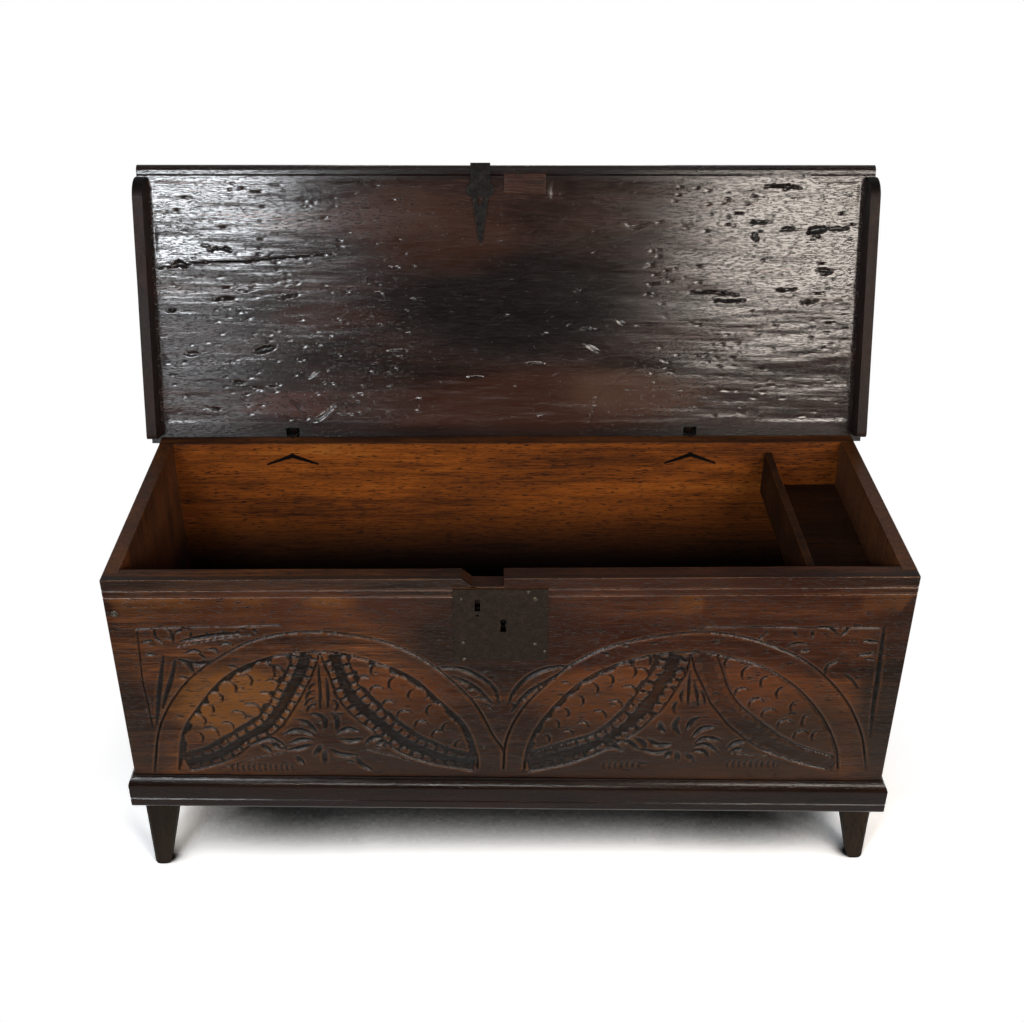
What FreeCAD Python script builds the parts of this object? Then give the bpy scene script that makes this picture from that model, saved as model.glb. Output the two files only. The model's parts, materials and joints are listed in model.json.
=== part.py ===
"""Boarded oak coffer: six nailed boards, a hinged lid with end cleats, a moulded base on
four tapered feet, a small till at the right-hand end, and an iron lock and staple hinges.

Frame: +X to the right, +Y to the back, +Z up, millimetres. The floor is z = 0. The lid is
drawn open, and the origin lies at the centre of the footprint with the lid open.
"""
import FreeCAD, Part
import math
import os
import re
import Sketcher
from FreeCAD import Placement, Rotation, Vector

doc = FreeCAD.newDocument("Coffer")

# ---------------------------------------------------------------- driving dimensions
SIZES = {
    # case
    "case_width": 1150, "case_depth": 424, "rim_height": 552, "case_bottom": 140,
    "front_thick": 28, "back_thick": 22, "end_thick": 22, "front_lap": 18,
    "bottom_thick": 16, "bottom_rise": 20, "bottom_tongue": 8, "bottom_gap": 1.5,
    "scratch_upper": 18, "scratch_lower": 29.5, "scratch_width": 3, "scratch_deep": 1.5,
    # notch in the front board's top edge, measured from the case's centre line
    "notch_left": 72, "notch_floor_left": 56, "notch_right": 12, "notch_deep": 14,
    # base moulding: it falls a little from left to right, as hand-fitted work does
    "base_drop": 355, "base_fall": 26, "base_height": 60, "base_out": 10,
    "base_ovolo": 15, "base_fillet": 3, "base_step": 2.5, "base_round": 6,
    "bead_rise": 18, "bead_width": 3, "bead_deep": 1.4,
    # feet
    "foot_inset": 5, "foot_top": 54, "foot_toe": 24, "foot_chamfer": 4, "toe_chamfer": 3,
    "tenon_wide": 24, "tenon_back": 3.5, "block_side": 60,
    # till
    "till_width": 113, "till_thick": 12, "till_drop": 20, "till_deep": 62, "till_floor": 11,
    "till_skirt": 4, "till_housing": 6,
    # lid
    "lid_thick": 24, "front_overhang": 10, "lean_back": 18.26, "nose_round": 11,
    "nose_under": 10, "top_quirk": 2, "quirk_back": 18, "under_bead": 16,
    "cleat_thick": 16.5, "cleat_deep": 36, "cleat_gap": 1, "cleat_setback": 19,
    "cleat_nose": 32, "cleat_heel": 8,
    "patch_left": 6, "patch_wide": 67, "patch_long": 31, "patch_setback": 14,
    "patch_deep": 6,
    # staple hinges
    "hinge_left": 358, "hinge_right": 304, "hinge_back": 4, "stop_gap": 0.3, "seat_gap": 0.3,
    "wire": 4, "eye_play": 0.8, "lid_eye_hole": 12, "shank": 5.2, "eye_gap": 0.4,
    "leg_angle": 45, "clinch_drop": 22, "clinch_reach": 46,
    "clinch_fall": 17, "clinch_tip": 2.2,
    # lid strap, the stub of a lost hasp
    "strap_left": 44, "strap_neck": 32, "strap_thick": 3,
    "strap_long": 123, "strap_turn": 13, "strap_slot": 8, "slot_long": 12, "slot_back": 56,
    "strap_shoulder": 29, "strap_collar": 22, "strap_waist": 26, "strap_bulge": 11.8,
    "strap_tip": 8,
    # lock
    "plate_left": 84, "plate_right": 51, "plate_drop": 17, "plate_tall": 125,
    "plate_thick": 2, "key_left": 12.7, "key_drop": 73, "key_round": 9.4, "key_slot": 6,
    "key_foot": 9, "key_long": 18, "hasp_left": 49.3, "hasp_drop": 44.6, "hasp_wide": 7.5,
    "hasp_tall": 20, "pin_hole": 4, "pin_drop": 62,
    "mortise_left": 66, "mortise_right": 36, "mortise_drop": 31, "mortise_tall": 82,
    "mortise_deep": 16,
    "bolt_tall": 12, "bolt_thick": 5, "bolt_off": 3, "bolt_long": 66, "bolt_clear": 3,
    "bolt_play": 0.05, "guide_wide": 6, "guide_wall": 2.5, "talon_wide": 9,
    "talon_deep": 3.5, "guide_left": 33, "guide_right": 0,
    "spring_thick": 1.2, "spring_long": 23, "spring_rise": 2.5, "spring_lug_wide": 3,
    "cap_wide": 44, "cap_tall": 40, "cap_thick": 2, "cap_off": 10, "cap_drop": 65,
}

# Places that follow from the sizes.
PLACES = {
    "half_width": "case_width / 2",
    "lid_reach": "case_depth + hinge_back + front_overhang",
    "rear_overhang": "(hinge_back - stop_gap) / sin(lean_back)",
    "lean_depth": "(lid_reach - nose_round) * sin(lean_back)"
                  " + (lid_thick - top_quirk - nose_round) * cos(lean_back) + nose_round",
    "front_y": "base_out - (base_out + case_depth + hinge_back + lean_depth) / 2",
    "back_inner": "front_y + case_depth - back_thick",
    "front_inner": "front_y + front_thick",
    "back_outer": "front_y + case_depth",
    "hinge_y": "back_outer + hinge_back",
    "hinge_z": "rim_height + seat_gap",
    "case_height": "rim_height - case_bottom",
    "bottom_z": "case_bottom + bottom_rise",
    "inner_half": "half_width - end_thick",
    "base_top_left": "rim_height - base_drop",
    "base_top_right": "rim_height - base_drop - base_fall",
    "lid_half": "half_width + cleat_gap + cleat_thick",
    "till_x": "inner_half - till_width - till_thick",
    "till_top": "rim_height - till_drop",
    "till_floor_z": "till_top - till_deep - till_floor",
    "bolt_z": "rim_height - hasp_drop",
    "bolt_tip": "bolt_clear + hasp_wide / 2 - hasp_left",
    "back_eye": "2 * (wire + eye_play)",
    "lid_eye": "lid_eye_hole + wire",
    "spring_start": "guide_wide / 2 + 1 - guide_left",
    "spring_z": "bolt_z + bolt_tall / 2 + bolt_play + spring_rise",
}

sheet = doc.addObject("Spreadsheet::Sheet", "Sizes")
for row, (alias, value) in enumerate(SIZES.items(), start=1):
    sheet.set(f"A{row}", alias.replace("_", " "))
    sheet.set(f"B{row}", str(value))
    sheet.setAlias(f"B{row}", alias)
doc.recompute()

WORD = re.compile(r"[a-z]+(?:_[a-z]+)*")


def formula(text):
    """An expression in the plain names above, with each name tied to its own cell or place."""
    def tie(match):
        word = match.group(0)
        if word in SIZES:
            return "Sizes." + word
        return "Places." + word if word in PLACES else word
    return WORD.sub(tie, str(text))


places = doc.addObject("App::VarSet", "Places")
for name in PLACES:
    places.addProperty("App::PropertyFloat", name)
for name, rule in PLACES.items():
    places.setExpression(name, formula(rule))
doc.recompute()


def number(text):
    """The present value of an expression."""
    value = places.evalExpression(formula(text))
    return float(getattr(value, "Value", value))


def bind(thing, rules):
    for prop, rule in rules.items():
        thing.setExpression(prop, formula(rule))


def set_down(thing, spot, axis=(0, 0, 1), turn="0", first=""):
    """Tie the whole placement: a spot and a turn about an axis, after any first rotation."""
    x, y, z = spot
    turned = f"rotation(vector({axis[0]}; {axis[1]}; {axis[2]}); {turn})" + first
    thing.setExpression("Placement", formula(f"placement(vector({x}; {y}; {z}); {turned})"))


# ---------------------------------------------------------------- solids
def block(name, spot, size, axis=(0, 0, 1), turn="0"):
    thing = doc.addObject("Part::Box", name)
    bind(thing, dict(zip(("Length", "Width", "Height"), size)))
    set_down(thing, spot, axis, turn)
    return thing


def rod(name, radius, length, spot, axis=(0, 0, 1), turn="0"):
    """A cylinder that runs along its own Z from its spot."""
    thing = doc.addObject("Part::Cylinder", name)
    bind(thing, {"Radius": radius, "Height": length})
    set_down(thing, spot, axis, turn)
    return thing


def taper(name, root, tip, length, spot, axis, turn):
    """A square bar along its own Y that narrows from root to tip, with one flat side down."""
    thing = doc.addObject("Part::Wedge", name)
    bind(thing, {"Xmin": f"-{root} / 2", "Xmax": f"{root} / 2", "Zmin": "0", "Zmax": root,
                 "X2min": f"-{tip} / 2", "X2max": f"{tip} / 2", "Z2min": "0", "Z2max": tip,
                 "Ymin": "0", "Ymax": length})
    set_down(thing, spot, axis, turn)
    return thing


def fuse(name, parts):
    thing = doc.addObject("Part::MultiFuse", name)
    thing.Shapes = parts
    return thing


def cut(name, base, tools):
    thing = doc.addObject("Part::Cut", name)
    thing.Base = base
    thing.Tool = tools[0] if len(tools) == 1 else fuse(name + "_tools", tools)
    return thing


def trace(sketch, outline):
    """Draw one closed outline in a sketch.

    Each corner is (across, up) or (across, up, radius), where a radius makes the stretch
    from that corner to the next an arc; a positive one bulges to the right of the way
    round. Every corner and radius is a constraint tied to the sizes."""
    corners = [Vector(number(c[0]), number(c[1]), 0) for c in outline]
    first = []
    for i, corner in enumerate(outline):
        here, there = corners[i], corners[(i + 1) % len(corners)]
        if len(corner) < 3:
            sketch.addGeometry(Part.LineSegment(here, there), False)
            first.append(1)
            continue
        radius = number(corner[2])
        # an arc is kept counter-clockwise, so one that bulges to the left runs back to front
        start, end = (here, there) if radius > 0 else (there, here)
        half = (end - start) * 0.5
        inward = Vector(-half.y, half.x, 0).normalize()
        centre = start + half + inward * (max(radius ** 2 - half.Length ** 2, 0) ** 0.5)
        angles = [math.atan2(p.y - centre.y, p.x - centre.x) for p in (start, end)]
        circle = Part.Circle(centre, Vector(0, 0, 1), abs(radius))
        sketch.addGeometry(Part.ArcOfCircle(circle, *angles), False)
        first.append(1 if radius > 0 else 2)
    rules, marks = [], []
    for i, corner in enumerate(outline):
        before = (i - 1) % len(outline)
        rules.append(Sketcher.Constraint("Coincident", before, 3 - first[before], i, first[i]))
        for kind, rule in (("DistanceX", corner[0]), ("DistanceY", corner[1])):
            marks.append((len(rules), rule))
            rules.append(Sketcher.Constraint(kind, -1, 1, i, first[i], number(rule)))
        if len(corner) > 2:
            rule = corner[2].lstrip("-")
            marks.append((len(rules), rule))
            rules.append(Sketcher.Constraint("Radius", i, number(rule)))
    sketch.addConstraint(rules)
    for mark, rule in marks:
        sketch.setExpression(f"Constraints[{mark}]", formula(rule))


def padded(name, plane, outline, length, midplane=True):
    """A body padded from one closed outline on one of its own planes."""
    body = doc.addObject("PartDesign::Body", name)
    sketch = body.newObject("Sketcher::SketchObject", name + "_outline")
    flat = [f for f in body.Origin.OriginFeatures if f.Role == plane][0]
    sketch.AttachmentSupport = (flat, [""])
    sketch.MapMode = "FlatFace"
    trace(sketch, outline)
    pad = body.newObject("PartDesign::Pad", name + "_pad")
    pad.Profile = sketch
    pad.Midplane = midplane
    bind(pad, {"Length": length})
    return body


def forged_ring(name, middle, wire, spot, axis, turn):
    """A ring about its own Z, of wire with eight flats."""
    corner = f"({wire} / 2 / cos(22.5))"
    section = doc.addObject("Sketcher::SketchObject", name + "_section")
    trace(section, [
        (f"{middle} + {corner} * cos({angle})", f"{corner} * sin({angle})")
        for angle in (22.5 + 45 * k for k in range(8))])
    set_down(section, ("0", "0", "0"), (1, 0, 0), "90")
    thing = doc.addObject("Part::Revolution", name)
    thing.Source = section
    thing.Axis = Vector(0, 0, 1)
    thing.Angle = 360
    thing.Solid = True
    set_down(thing, spot, axis, turn)
    return thing


NODES = []


def node(thing, label):
    thing.Label = label
    NODES.append(thing)
    return thing


def on_lid(thing, across="0"):
    """Lid pieces are drawn shut, about the hinge line, and swung open together."""
    set_down(thing, (across, "hinge_y", "hinge_z"), (1, 0, 0), "-90 - lean_back")
    return thing


SIDES = (("left", "-"), ("right", ""))
ALONG_X = ((0, 1, 0), "90")
ALONG_Y = ((1, 0, 0), "-90")

# ---------------------------------------------------------------- till, open at the top
till_front_board = block(
    "till_front", ("till_x", "front_inner - till_housing", "till_floor_z - till_skirt"),
    ("till_thick", "back_inner - front_inner + 2 * till_housing",
     "till_top - till_floor_z + till_skirt"))
node(till_front_board, "till_front_board")
till_floor_board = block(
    "till_floor_plank", ("till_x + till_thick", "front_inner - till_housing", "till_floor_z"),
    ("till_width + till_housing", "back_inner - front_inner + 2 * till_housing", "till_floor"))
node(till_floor_board, "till_floor_board")

# ---------------------------------------------------------------- bottom boards
bottom_boards = []
BOTTOM_WIDTH = "(back_inner - front_inner - 2 * bottom_gap) / 3"
for i, where in enumerate(("front", "middle", "back")):
    plank = block(
        f"bottom_{where}",
        ("-inner_half - bottom_tongue", f"front_inner + {i} * ({BOTTOM_WIDTH} + bottom_gap)",
         "bottom_z"),
        ("2 * (inner_half + bottom_tongue)", BOTTOM_WIDTH, "bottom_thick"))
    bottom_boards.append(node(plank, f"bottom_board_{where}"))

# ---------------------------------------------------------------- front board
front_plank = block("front_plank", ("-half_width", "front_y", "case_bottom"),
                    ("case_width", "front_thick", "case_height"))
laps = [
    block(f"lap_{side}", (x, "front_y + front_lap", "case_bottom"),
          ("end_thick", "front_thick", "case_height"))
    for side, x in (("left", "-half_width"), ("right", "inner_half"))]
notch = padded("top_notch", "XZ_Plane", [
    ("-notch_left", "rim_height"), ("-notch_floor_left", "rim_height - notch_deep"),
    ("-notch_right", "rim_height - notch_deep"), ("-notch_right", "rim_height + notch_deep"),
    ("-notch_left", "rim_height + notch_deep")], "2 * front_thick + 2")
set_down(notch, ("0", "front_inner", "0"))
mortise = block("lock_mortise",
                ("-mortise_left", "front_y", "rim_height - mortise_drop - mortise_tall"),
                ("mortise_left + mortise_right", "mortise_deep", "mortise_tall"))
scratches = []
for name, drop in (("upper", "scratch_upper"), ("lower", "scratch_lower")):
    groove = padded(f"scratch_{name}", "YZ_Plane", [
        ("0", "-scratch_width / 2"), ("scratch_deep", "0"), ("0", "scratch_width / 2")],
        "case_width + 2")
    set_down(groove, ("0", "front_y", f"rim_height - {drop}"))
    scratches.append(groove)
front_board = cut("front_board_cut", front_plank,
                  laps + [notch, mortise, till_front_board, till_floor_board] + scratches)
node(front_board, "front_board")

# ---------------------------------------------------------------- end boards
for side, x in (("left", "-half_width"), ("right", "inner_half")):
    plank = block(f"{side}_end_plank", (x, "front_y + front_lap", "case_bottom"),
                  ("end_thick", "case_depth - back_thick - front_lap", "case_height"))
    housed = bottom_boards + ([till_floor_board] if side == "right" else [])
    node(cut(f"{side}_end_cut", plank, housed), f"{side}_end_board")

# ---------------------------------------------------------------- staple hinges
# Two eyes hook through each other. The case staple's eye stands in the YZ plane, its shank
# slopes down through the back board, and its legs are clinched on the inner face. The lid
# staple's eye lies across it, and its wire crosses the hinge line inside the other eye.
CLINCH_ANGLE = "atan((back_thick + hinge_back) / (clinch_drop + seat_gap))"
EYE_CLEAR = "back_eye / 2 + wire / 2 + eye_gap"


def staple(name, depth, angle, eye, start, fall):
    """An eye, a square shank that goes through a board at an angle to its far face, and two
    legs clinched flat on that face. Drawn about the hinge line, with the face at z = depth."""
    across, along = f"cos({angle})", f"sin({angle})"
    shank = block(f"{name}_shank",
                  ("-shank / 2", f"-{start} * {across} - shank / 2 * {along}",
                   f"{start} * {along} - shank / 2 * {across}"),
                  ("shank", "shank", f"({depth} + shank / 2) / {along} - {start}"),
                  (1, 0, 0), f"90deg - {angle}")
    legs = [
        taper(f"{name}_leg_{side}", "shank", "clinch_tip", "clinch_reach",
              ("0", f"-({depth}) / tan({angle})", depth), (0, 0, 1), f"{sign}(90deg + {fall})")
        for side, sign in (("left", ""), ("right", "-"))]
    return fuse(name, [eye, shank] + legs)


back_pockets, lid_pockets = [], []
for side, x in (("left", "-hinge_left"), ("right", "hinge_right")):
    slot_x = f"{x} - wire / 2 - eye_gap"
    eye = forged_ring(f"{side}_back_eye", "back_eye / 2", "wire", ("0", "0", "0"), *ALONG_X)
    back_staple = staple(f"{side}_back_staple_parts", "back_thick + hinge_back", CLINCH_ANGLE,
                         eye, "back_eye / 2", "asin(clinch_fall / clinch_reach)")
    set_down(back_staple, (x, "hinge_y", "hinge_z"), (1, 0, 0), "90")
    node(back_staple, f"{side}_back_staple")
    back_slot = rod(f"{side}_back_slot", EYE_CLEAR, "wire + 2 * eye_gap",
                    (slot_x, "hinge_y", "hinge_z"), *ALONG_X)
    back_pockets += [back_staple, back_slot]

    eye = forged_ring(f"{side}_lid_eye", "lid_eye / 2", "wire",
                      ("0", "-lid_eye / 2 * cos(leg_angle)", "lid_eye / 2 * sin(leg_angle)"),
                      (1, 0, 0), "-leg_angle")
    lid_staple = staple(f"{side}_lid_staple_parts", "lid_thick", "(leg_angle * 1deg)", eye,
                        "lid_eye", "0deg")
    node(on_lid(lid_staple, x), f"{side}_lid_staple")
    lid_slot = rod(f"{side}_lid_slot", EYE_CLEAR, "wire + 2 * eye_gap",
                   (slot_x, "hinge_y", "hinge_z"), *ALONG_X)
    far, beyond = "(lid_eye + wire / 2 + 2 * eye_gap)", "(wire / 2 + 2 * eye_gap)"
    gouge = padded(f"{side}_gouge", "YZ_Plane", [
        (f"-{far} * cos(leg_angle)", "-wire"),
        (f"wire / tan(leg_angle) + {beyond} / sin(leg_angle)", "-wire"),
        (f"-{far} * cos(leg_angle) + {beyond} * sin(leg_angle)",
         f"{far} * sin(leg_angle) + {beyond} * cos(leg_angle)"),
        (f"-{far} * cos(leg_angle)", f"{far} * sin(leg_angle)")],
        "lid_eye + wire + 4 * eye_gap")
    lid_pockets += [lid_staple, lid_slot, on_lid(gouge, x)]

# ---------------------------------------------------------------- back board
back_plank = block("back_plank", ("-half_width", "back_inner", "case_bottom"),
                   ("case_width", "back_thick", "case_height"))
node(cut("back_board_cut", back_plank, back_pockets + [till_front_board, till_floor_board]),
     "back_board")

# ---------------------------------------------------------------- base moulding
OVOLO = "((base_out - base_step) ^ 2 + base_ovolo ^ 2) / (2 * (base_out - base_step))"
BASE_OUTLINE = [
    ("0", "0"), ("-(base_out - base_round)", "0", "-base_round"), ("-base_out", "base_round"),
    ("-base_out", "bead_rise - bead_width / 2"), ("-(base_out - bead_deep)", "bead_rise"),
    ("-base_out", "bead_rise + bead_width / 2"),
    ("-base_out", "base_height - base_fillet - base_ovolo", f"-({OVOLO})"),
    ("-base_step", "base_height - base_fillet"), ("-base_step", "base_height"),
    ("0", "base_height")]


def mitre(name, side_sign, turn):
    """A square-ended block whose corner stands on the case's corner, turned to 45 degrees."""
    return block(name, (f"{side_sign}half_width", "front_y", "base_top_right - 2 * base_height"),
                 ("6 * base_out", "6 * base_out", "4 * base_height + base_fall"),
                 (0, 0, 1), turn)


front_run = padded("base_front_run", "YZ_Plane", BASE_OUTLINE, "case_width + 6 * base_out")
set_down(front_run, ("0", "front_y", "base_top_left - base_fall / 2 - base_height"),
         (0, 1, 0), "asin(base_fall / case_width)")
node(cut("base_front_cut", front_run,
         [mitre("mitre_front_left", "-", "135"), mitre("mitre_front_right", "", "315")]),
     "base_moulding_front")
for side, sign, turn in (("left", "-", "0"), ("right", "", "180")):
    run = padded(f"base_{side}_run", "XZ_Plane", BASE_OUTLINE, "case_depth + base_out")
    set_down(run, (f"{sign}half_width", "front_y + (case_depth - base_out) / 2",
                   f"base_top_{side} - base_height"), (0, 0, 1), turn)
    node(cut(f"base_{side}_cut", run, [mitre(f"mitre_{side}", sign, "225")]),
         f"base_moulding_{side}")

# ---------------------------------------------------------------- feet and their blocks
def tapered_leg(name):
    """A leg from an outer corner at the origin, plumb on its two outer faces and tapered on
    the two inner ones, with its long edges and its toe bevelled."""
    body = doc.addObject("PartDesign::Body", name)
    wedge = body.newObject("PartDesign::AdditiveWedge", name + "_taper")
    bind(wedge, {"Xmin": "0", "Xmax": "foot_toe", "Zmin": "0", "Zmax": "foot_toe",
                 "X2min": "0", "X2max": "foot_top", "Z2min": "0", "Z2max": "foot_top",
                 "Ymin": "0", "Ymax": "case_bottom"})
    base = wedge
    for part, size, wanted in (("edges", "foot_chamfer", lambda rise, low: rise > 1),
                               ("toe", "toe_chamfer", lambda rise, low: rise < 1 and low < 1)):
        doc.recompute()
        picked = []
        for i, edge in enumerate(base.Shape.Edges, start=1):
            heights = [vertex.Point.y for vertex in edge.Vertexes]
            if wanted(max(heights) - min(heights), max(heights)):
                picked.append(f"Edge{i}")
        bevel = body.newObject("PartDesign::Chamfer", f"{name}_{part}_bevel")
        bevel.Base = (base, picked)
        bind(bevel, {"Size": size})
        base = bevel
    return body


# A leg is drawn along its own Y, with its plumb faces on X = 0 and Z = 0. It is stood up with
# them to the left and the front, and then turned to its own corner.
STAND_UP = " * rotation(vector(1; 1; 1); 120)"
CORNERS = (("front", "left", "", "-", "0"), ("front", "right", "", "", "90"),
           ("back", "right", "-", "", "180"), ("back", "left", "-", "-", "270"))
for row_name, side, away, sign, turn in CORNERS:
    name = f"{row_name}_{side}"
    edge_y = "front_y + foot_inset" if row_name == "front" else "back_outer - foot_inset"
    board_y = "front_inner" if row_name == "front" else "back_inner"
    leg = tapered_leg(f"{name}_leg")
    set_down(leg, (f"{sign}(half_width - foot_inset)", edge_y, "0"), (0, 0, 1), turn, STAND_UP)
    tenon = rod(f"{name}_tenon", "tenon_wide / 2", "bottom_rise + foot_chamfer",
                (f"{sign}(inner_half - tenon_wide / 2 - tenon_back)",
                 f"{board_y} {away or '+'} (tenon_wide / 2 + tenon_back)",
                 "case_bottom - foot_chamfer"))
    node(fuse(f"{name}_foot_parts", [leg, tenon]), f"{name}_foot")
    corner_x = "-inner_half" if side == "left" else "inner_half - block_side"
    corner_y = "front_inner" if row_name == "front" else "back_inner - block_side"
    pad = block(f"{name}_block_blank", (corner_x, corner_y, "case_bottom"),
                ("block_side", "block_side", "bottom_rise"))
    node(cut(f"{name}_block_cut", pad, [tenon]), f"{name}_block")

# ---------------------------------------------------------------- lid
NOSE_OUTLINE = [
    ("rear_overhang", "0"),
    ("-(lid_reach - under_bead) + bead_width / 2", "0"),
    ("-(lid_reach - under_bead)", "bead_deep"),
    ("-(lid_reach - under_bead) - bead_width / 2", "0"),
    ("-(lid_reach - nose_under)", "0", "-nose_under"), ("-lid_reach", "nose_under"),
    ("-lid_reach", "lid_thick - top_quirk - nose_round", "-nose_round"),
    ("-(lid_reach - nose_round)", "lid_thick - top_quirk"),
    ("-(lid_reach - quirk_back)", "lid_thick - top_quirk"),
    ("-(lid_reach - quirk_back)", "lid_thick"), ("rear_overhang", "lid_thick")]

near, far = "-(lid_reach - patch_setback)", "-(lid_reach - patch_setback - patch_long)"
lid_patch = padded("patch_piece", "XY_Plane", [
    ("-patch_left", near), ("patch_wide - patch_left", near),
    ("patch_wide - patch_left", far), ("-patch_left", far)], "patch_deep", midplane=False)
node(on_lid(lid_patch), "lid_patch")
lid_plank = on_lid(padded("lid_plank", "YZ_Plane", NOSE_OUTLINE, "2 * lid_half"))
node(cut("lid_board_cut", lid_plank, lid_pockets + [lid_patch]), "lid_board")

CLEAT_OUTLINE = [
    ("-(lid_reach - cleat_setback)", "0"),
    ("-(lid_reach - cleat_setback)", "-(cleat_deep - cleat_nose)", "cleat_nose"),
    ("-(lid_reach - cleat_setback - cleat_nose)", "-cleat_deep"),
    ("-cleat_heel", "-cleat_deep", "cleat_heel"), ("0", "-(cleat_deep - cleat_heel)"),
    ("0", "0")]
for side, sign in SIDES:
    cleat = padded(f"{side}_cleat_body", "YZ_Plane", CLEAT_OUTLINE, "cleat_thick")
    node(on_lid(cleat, f"{sign}(lid_half - cleat_thick / 2)"), f"{side}_cleat")

# ---------------------------------------------------------------- lid strap
strap_edge = "-(lid_reach + strap_thick)"
strap_half = [
    ("-strap_neck / 2", strap_edge), ("-strap_neck / 2", "-(lid_reach - strap_shoulder)",
                                      "-strap_bulge"),
    ("-strap_waist / 2", "-(lid_reach - strap_shoulder - strap_collar)"),
    ("-strap_tip / 2", "-(lid_reach - strap_long + strap_tip)")]
strap_outline = strap_half + [("0", "-(lid_reach - strap_long)")] + [
    ("strap_tip / 2", "-(lid_reach - strap_long + strap_tip)"),
    ("strap_waist / 2", "-(lid_reach - strap_shoulder - strap_collar)", "-strap_bulge"),
    ("strap_neck / 2", "-(lid_reach - strap_shoulder)"), ("strap_neck / 2", strap_edge)]
strap_plate = padded("strap_plate", "XY_Plane", strap_outline, "strap_thick", midplane=False)
set_down(strap_plate, ("0", "0", "-strap_thick"))
strap_upturn = block("strap_upturn", ("-strap_neck / 2", strap_edge, "-strap_thick"),
                     ("strap_neck", "strap_thick", "strap_thick + strap_turn"))
strap_hole = block("strap_hole",
                   ("-strap_slot / 2", "-(lid_reach - slot_back) - slot_long / 2",
                    "-2 * strap_thick"), ("strap_slot", "slot_long", "3 * strap_thick"))
strap = cut("lid_strap_cut", fuse("strap_bent", [strap_plate, strap_upturn]), [strap_hole])
node(on_lid(strap, "-strap_left"), "lid_strap")

# ---------------------------------------------------------------- lock
KEY_X, KEY_Z = "-key_left", "rim_height - key_drop"
key_round = rod("key_round_hole", "key_round / 2", "mortise_deep",
                (KEY_X, "front_y - mortise_deep / 2", KEY_Z), *ALONG_Y)
key_slot = padded("key_slot_hole", "XZ_Plane", [
    ("-key_slot / 2", "0"), ("key_slot / 2", "0"), ("key_foot / 2", "-key_long"),
    ("-key_foot / 2", "-key_long")], "mortise_deep")
set_down(key_slot, (KEY_X, "front_y", KEY_Z))
hasp_slot = block("hasp_slot_hole",
                  ("-hasp_left - hasp_wide / 2", "front_y - mortise_deep / 2",
                   "bolt_z - hasp_tall / 2"), ("hasp_wide", "mortise_deep", "hasp_tall"))
pin_hole = rod("pin_hole_run", "pin_hole / 2", "mortise_deep",
               ("-hasp_left", "front_y - mortise_deep / 2", "rim_height - pin_drop"), *ALONG_Y)
plate_blank = block("plate_blank",
                    ("-plate_left", "front_y - plate_thick",
                     "rim_height - plate_drop - plate_tall"),
                    ("plate_left + plate_right", "plate_thick", "plate_tall"))
node(cut("lock_plate_cut", plate_blank, [key_round, key_slot, hasp_slot, pin_hole]),
     "lock_plate")

bolt_bar = block("bolt_bar", ("bolt_tip", "front_y + bolt_off", "bolt_z - bolt_tall / 2"),
                 ("bolt_long", "bolt_thick", "bolt_tall"))
talon = block("bolt_talon", ("-key_left - talon_wide / 2", "front_y",
                             "bolt_z - bolt_tall / 2 - talon_deep"),
              ("talon_wide", "mortise_deep", "2 * talon_deep"))
node(cut("lock_bolt_cut", bolt_bar, [talon]), "lock_bolt")

for side, x in (("left", "-guide_left"), ("right", "guide_right")):
    shell = block(f"guide_{side}_shell",
                  (f"{x} - guide_wide / 2", "front_y",
                   "bolt_z - bolt_tall / 2 - bolt_play - guide_wall"),
                  ("guide_wide", "bolt_off + bolt_thick + bolt_play + guide_wall",
                   "bolt_tall + 2 * (bolt_play + guide_wall)"))
    way = block(f"guide_{side}_way",
                (f"{x} - guide_wide", "front_y", "bolt_z - bolt_tall / 2 - bolt_play"),
                ("2 * guide_wide", "bolt_off + bolt_thick + bolt_play",
                 "bolt_tall + 2 * bolt_play"))
    node(cut(f"guide_{side}_cut", shell, [way]), f"bolt_guide_{side}")

# A bowed leaf presses on the bolt's top edge; its lug is riveted to the plate.
BOW = "((spring_long / 2) ^ 2 + spring_rise ^ 2) / (2 * spring_rise)"
leaf = padded("spring_leaf", "XZ_Plane", [
    ("0", "0", BOW), ("spring_long", "0"), ("spring_long", "spring_thick", f"-({BOW})"),
    ("0", "spring_thick")], "bolt_thick - 1")
set_down(leaf, ("spring_start", "front_y + bolt_off + bolt_thick / 2", "spring_z"))
lug = block("spring_lug", ("spring_start + spring_long - spring_lug_wide", "front_y", "spring_z"),
            ("spring_lug_wide", "bolt_off + bolt_thick", "spring_lug_wide"))
node(fuse("lock_spring_parts", [leaf, lug]), "lock_spring")

CAP_Z = "rim_height - cap_drop - cap_tall"
cap_face = block("cap_face", ("-key_left - cap_wide / 2", "front_y + cap_off", CAP_Z),
                 ("cap_wide", "cap_thick", "cap_tall"))
cap_legs = [
    block(f"cap_leg_{side}", (x, "front_y", CAP_Z), ("cap_thick", "cap_off", "cap_tall"))
    for side, x in (("left", "-key_left - cap_wide / 2"),
                    ("right", "-key_left + cap_wide / 2 - cap_thick"))]
cap_hole = rod("cap_hole", "key_slot / 2", "2 * mortise_deep",
               (KEY_X, "front_y", "rim_height - cap_drop - cap_tall / 2"), *ALONG_Y)
node(cut("lock_cap_cut", fuse("cap_bent", [cap_face] + cap_legs), [cap_hole]), "lock_cap")

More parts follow.
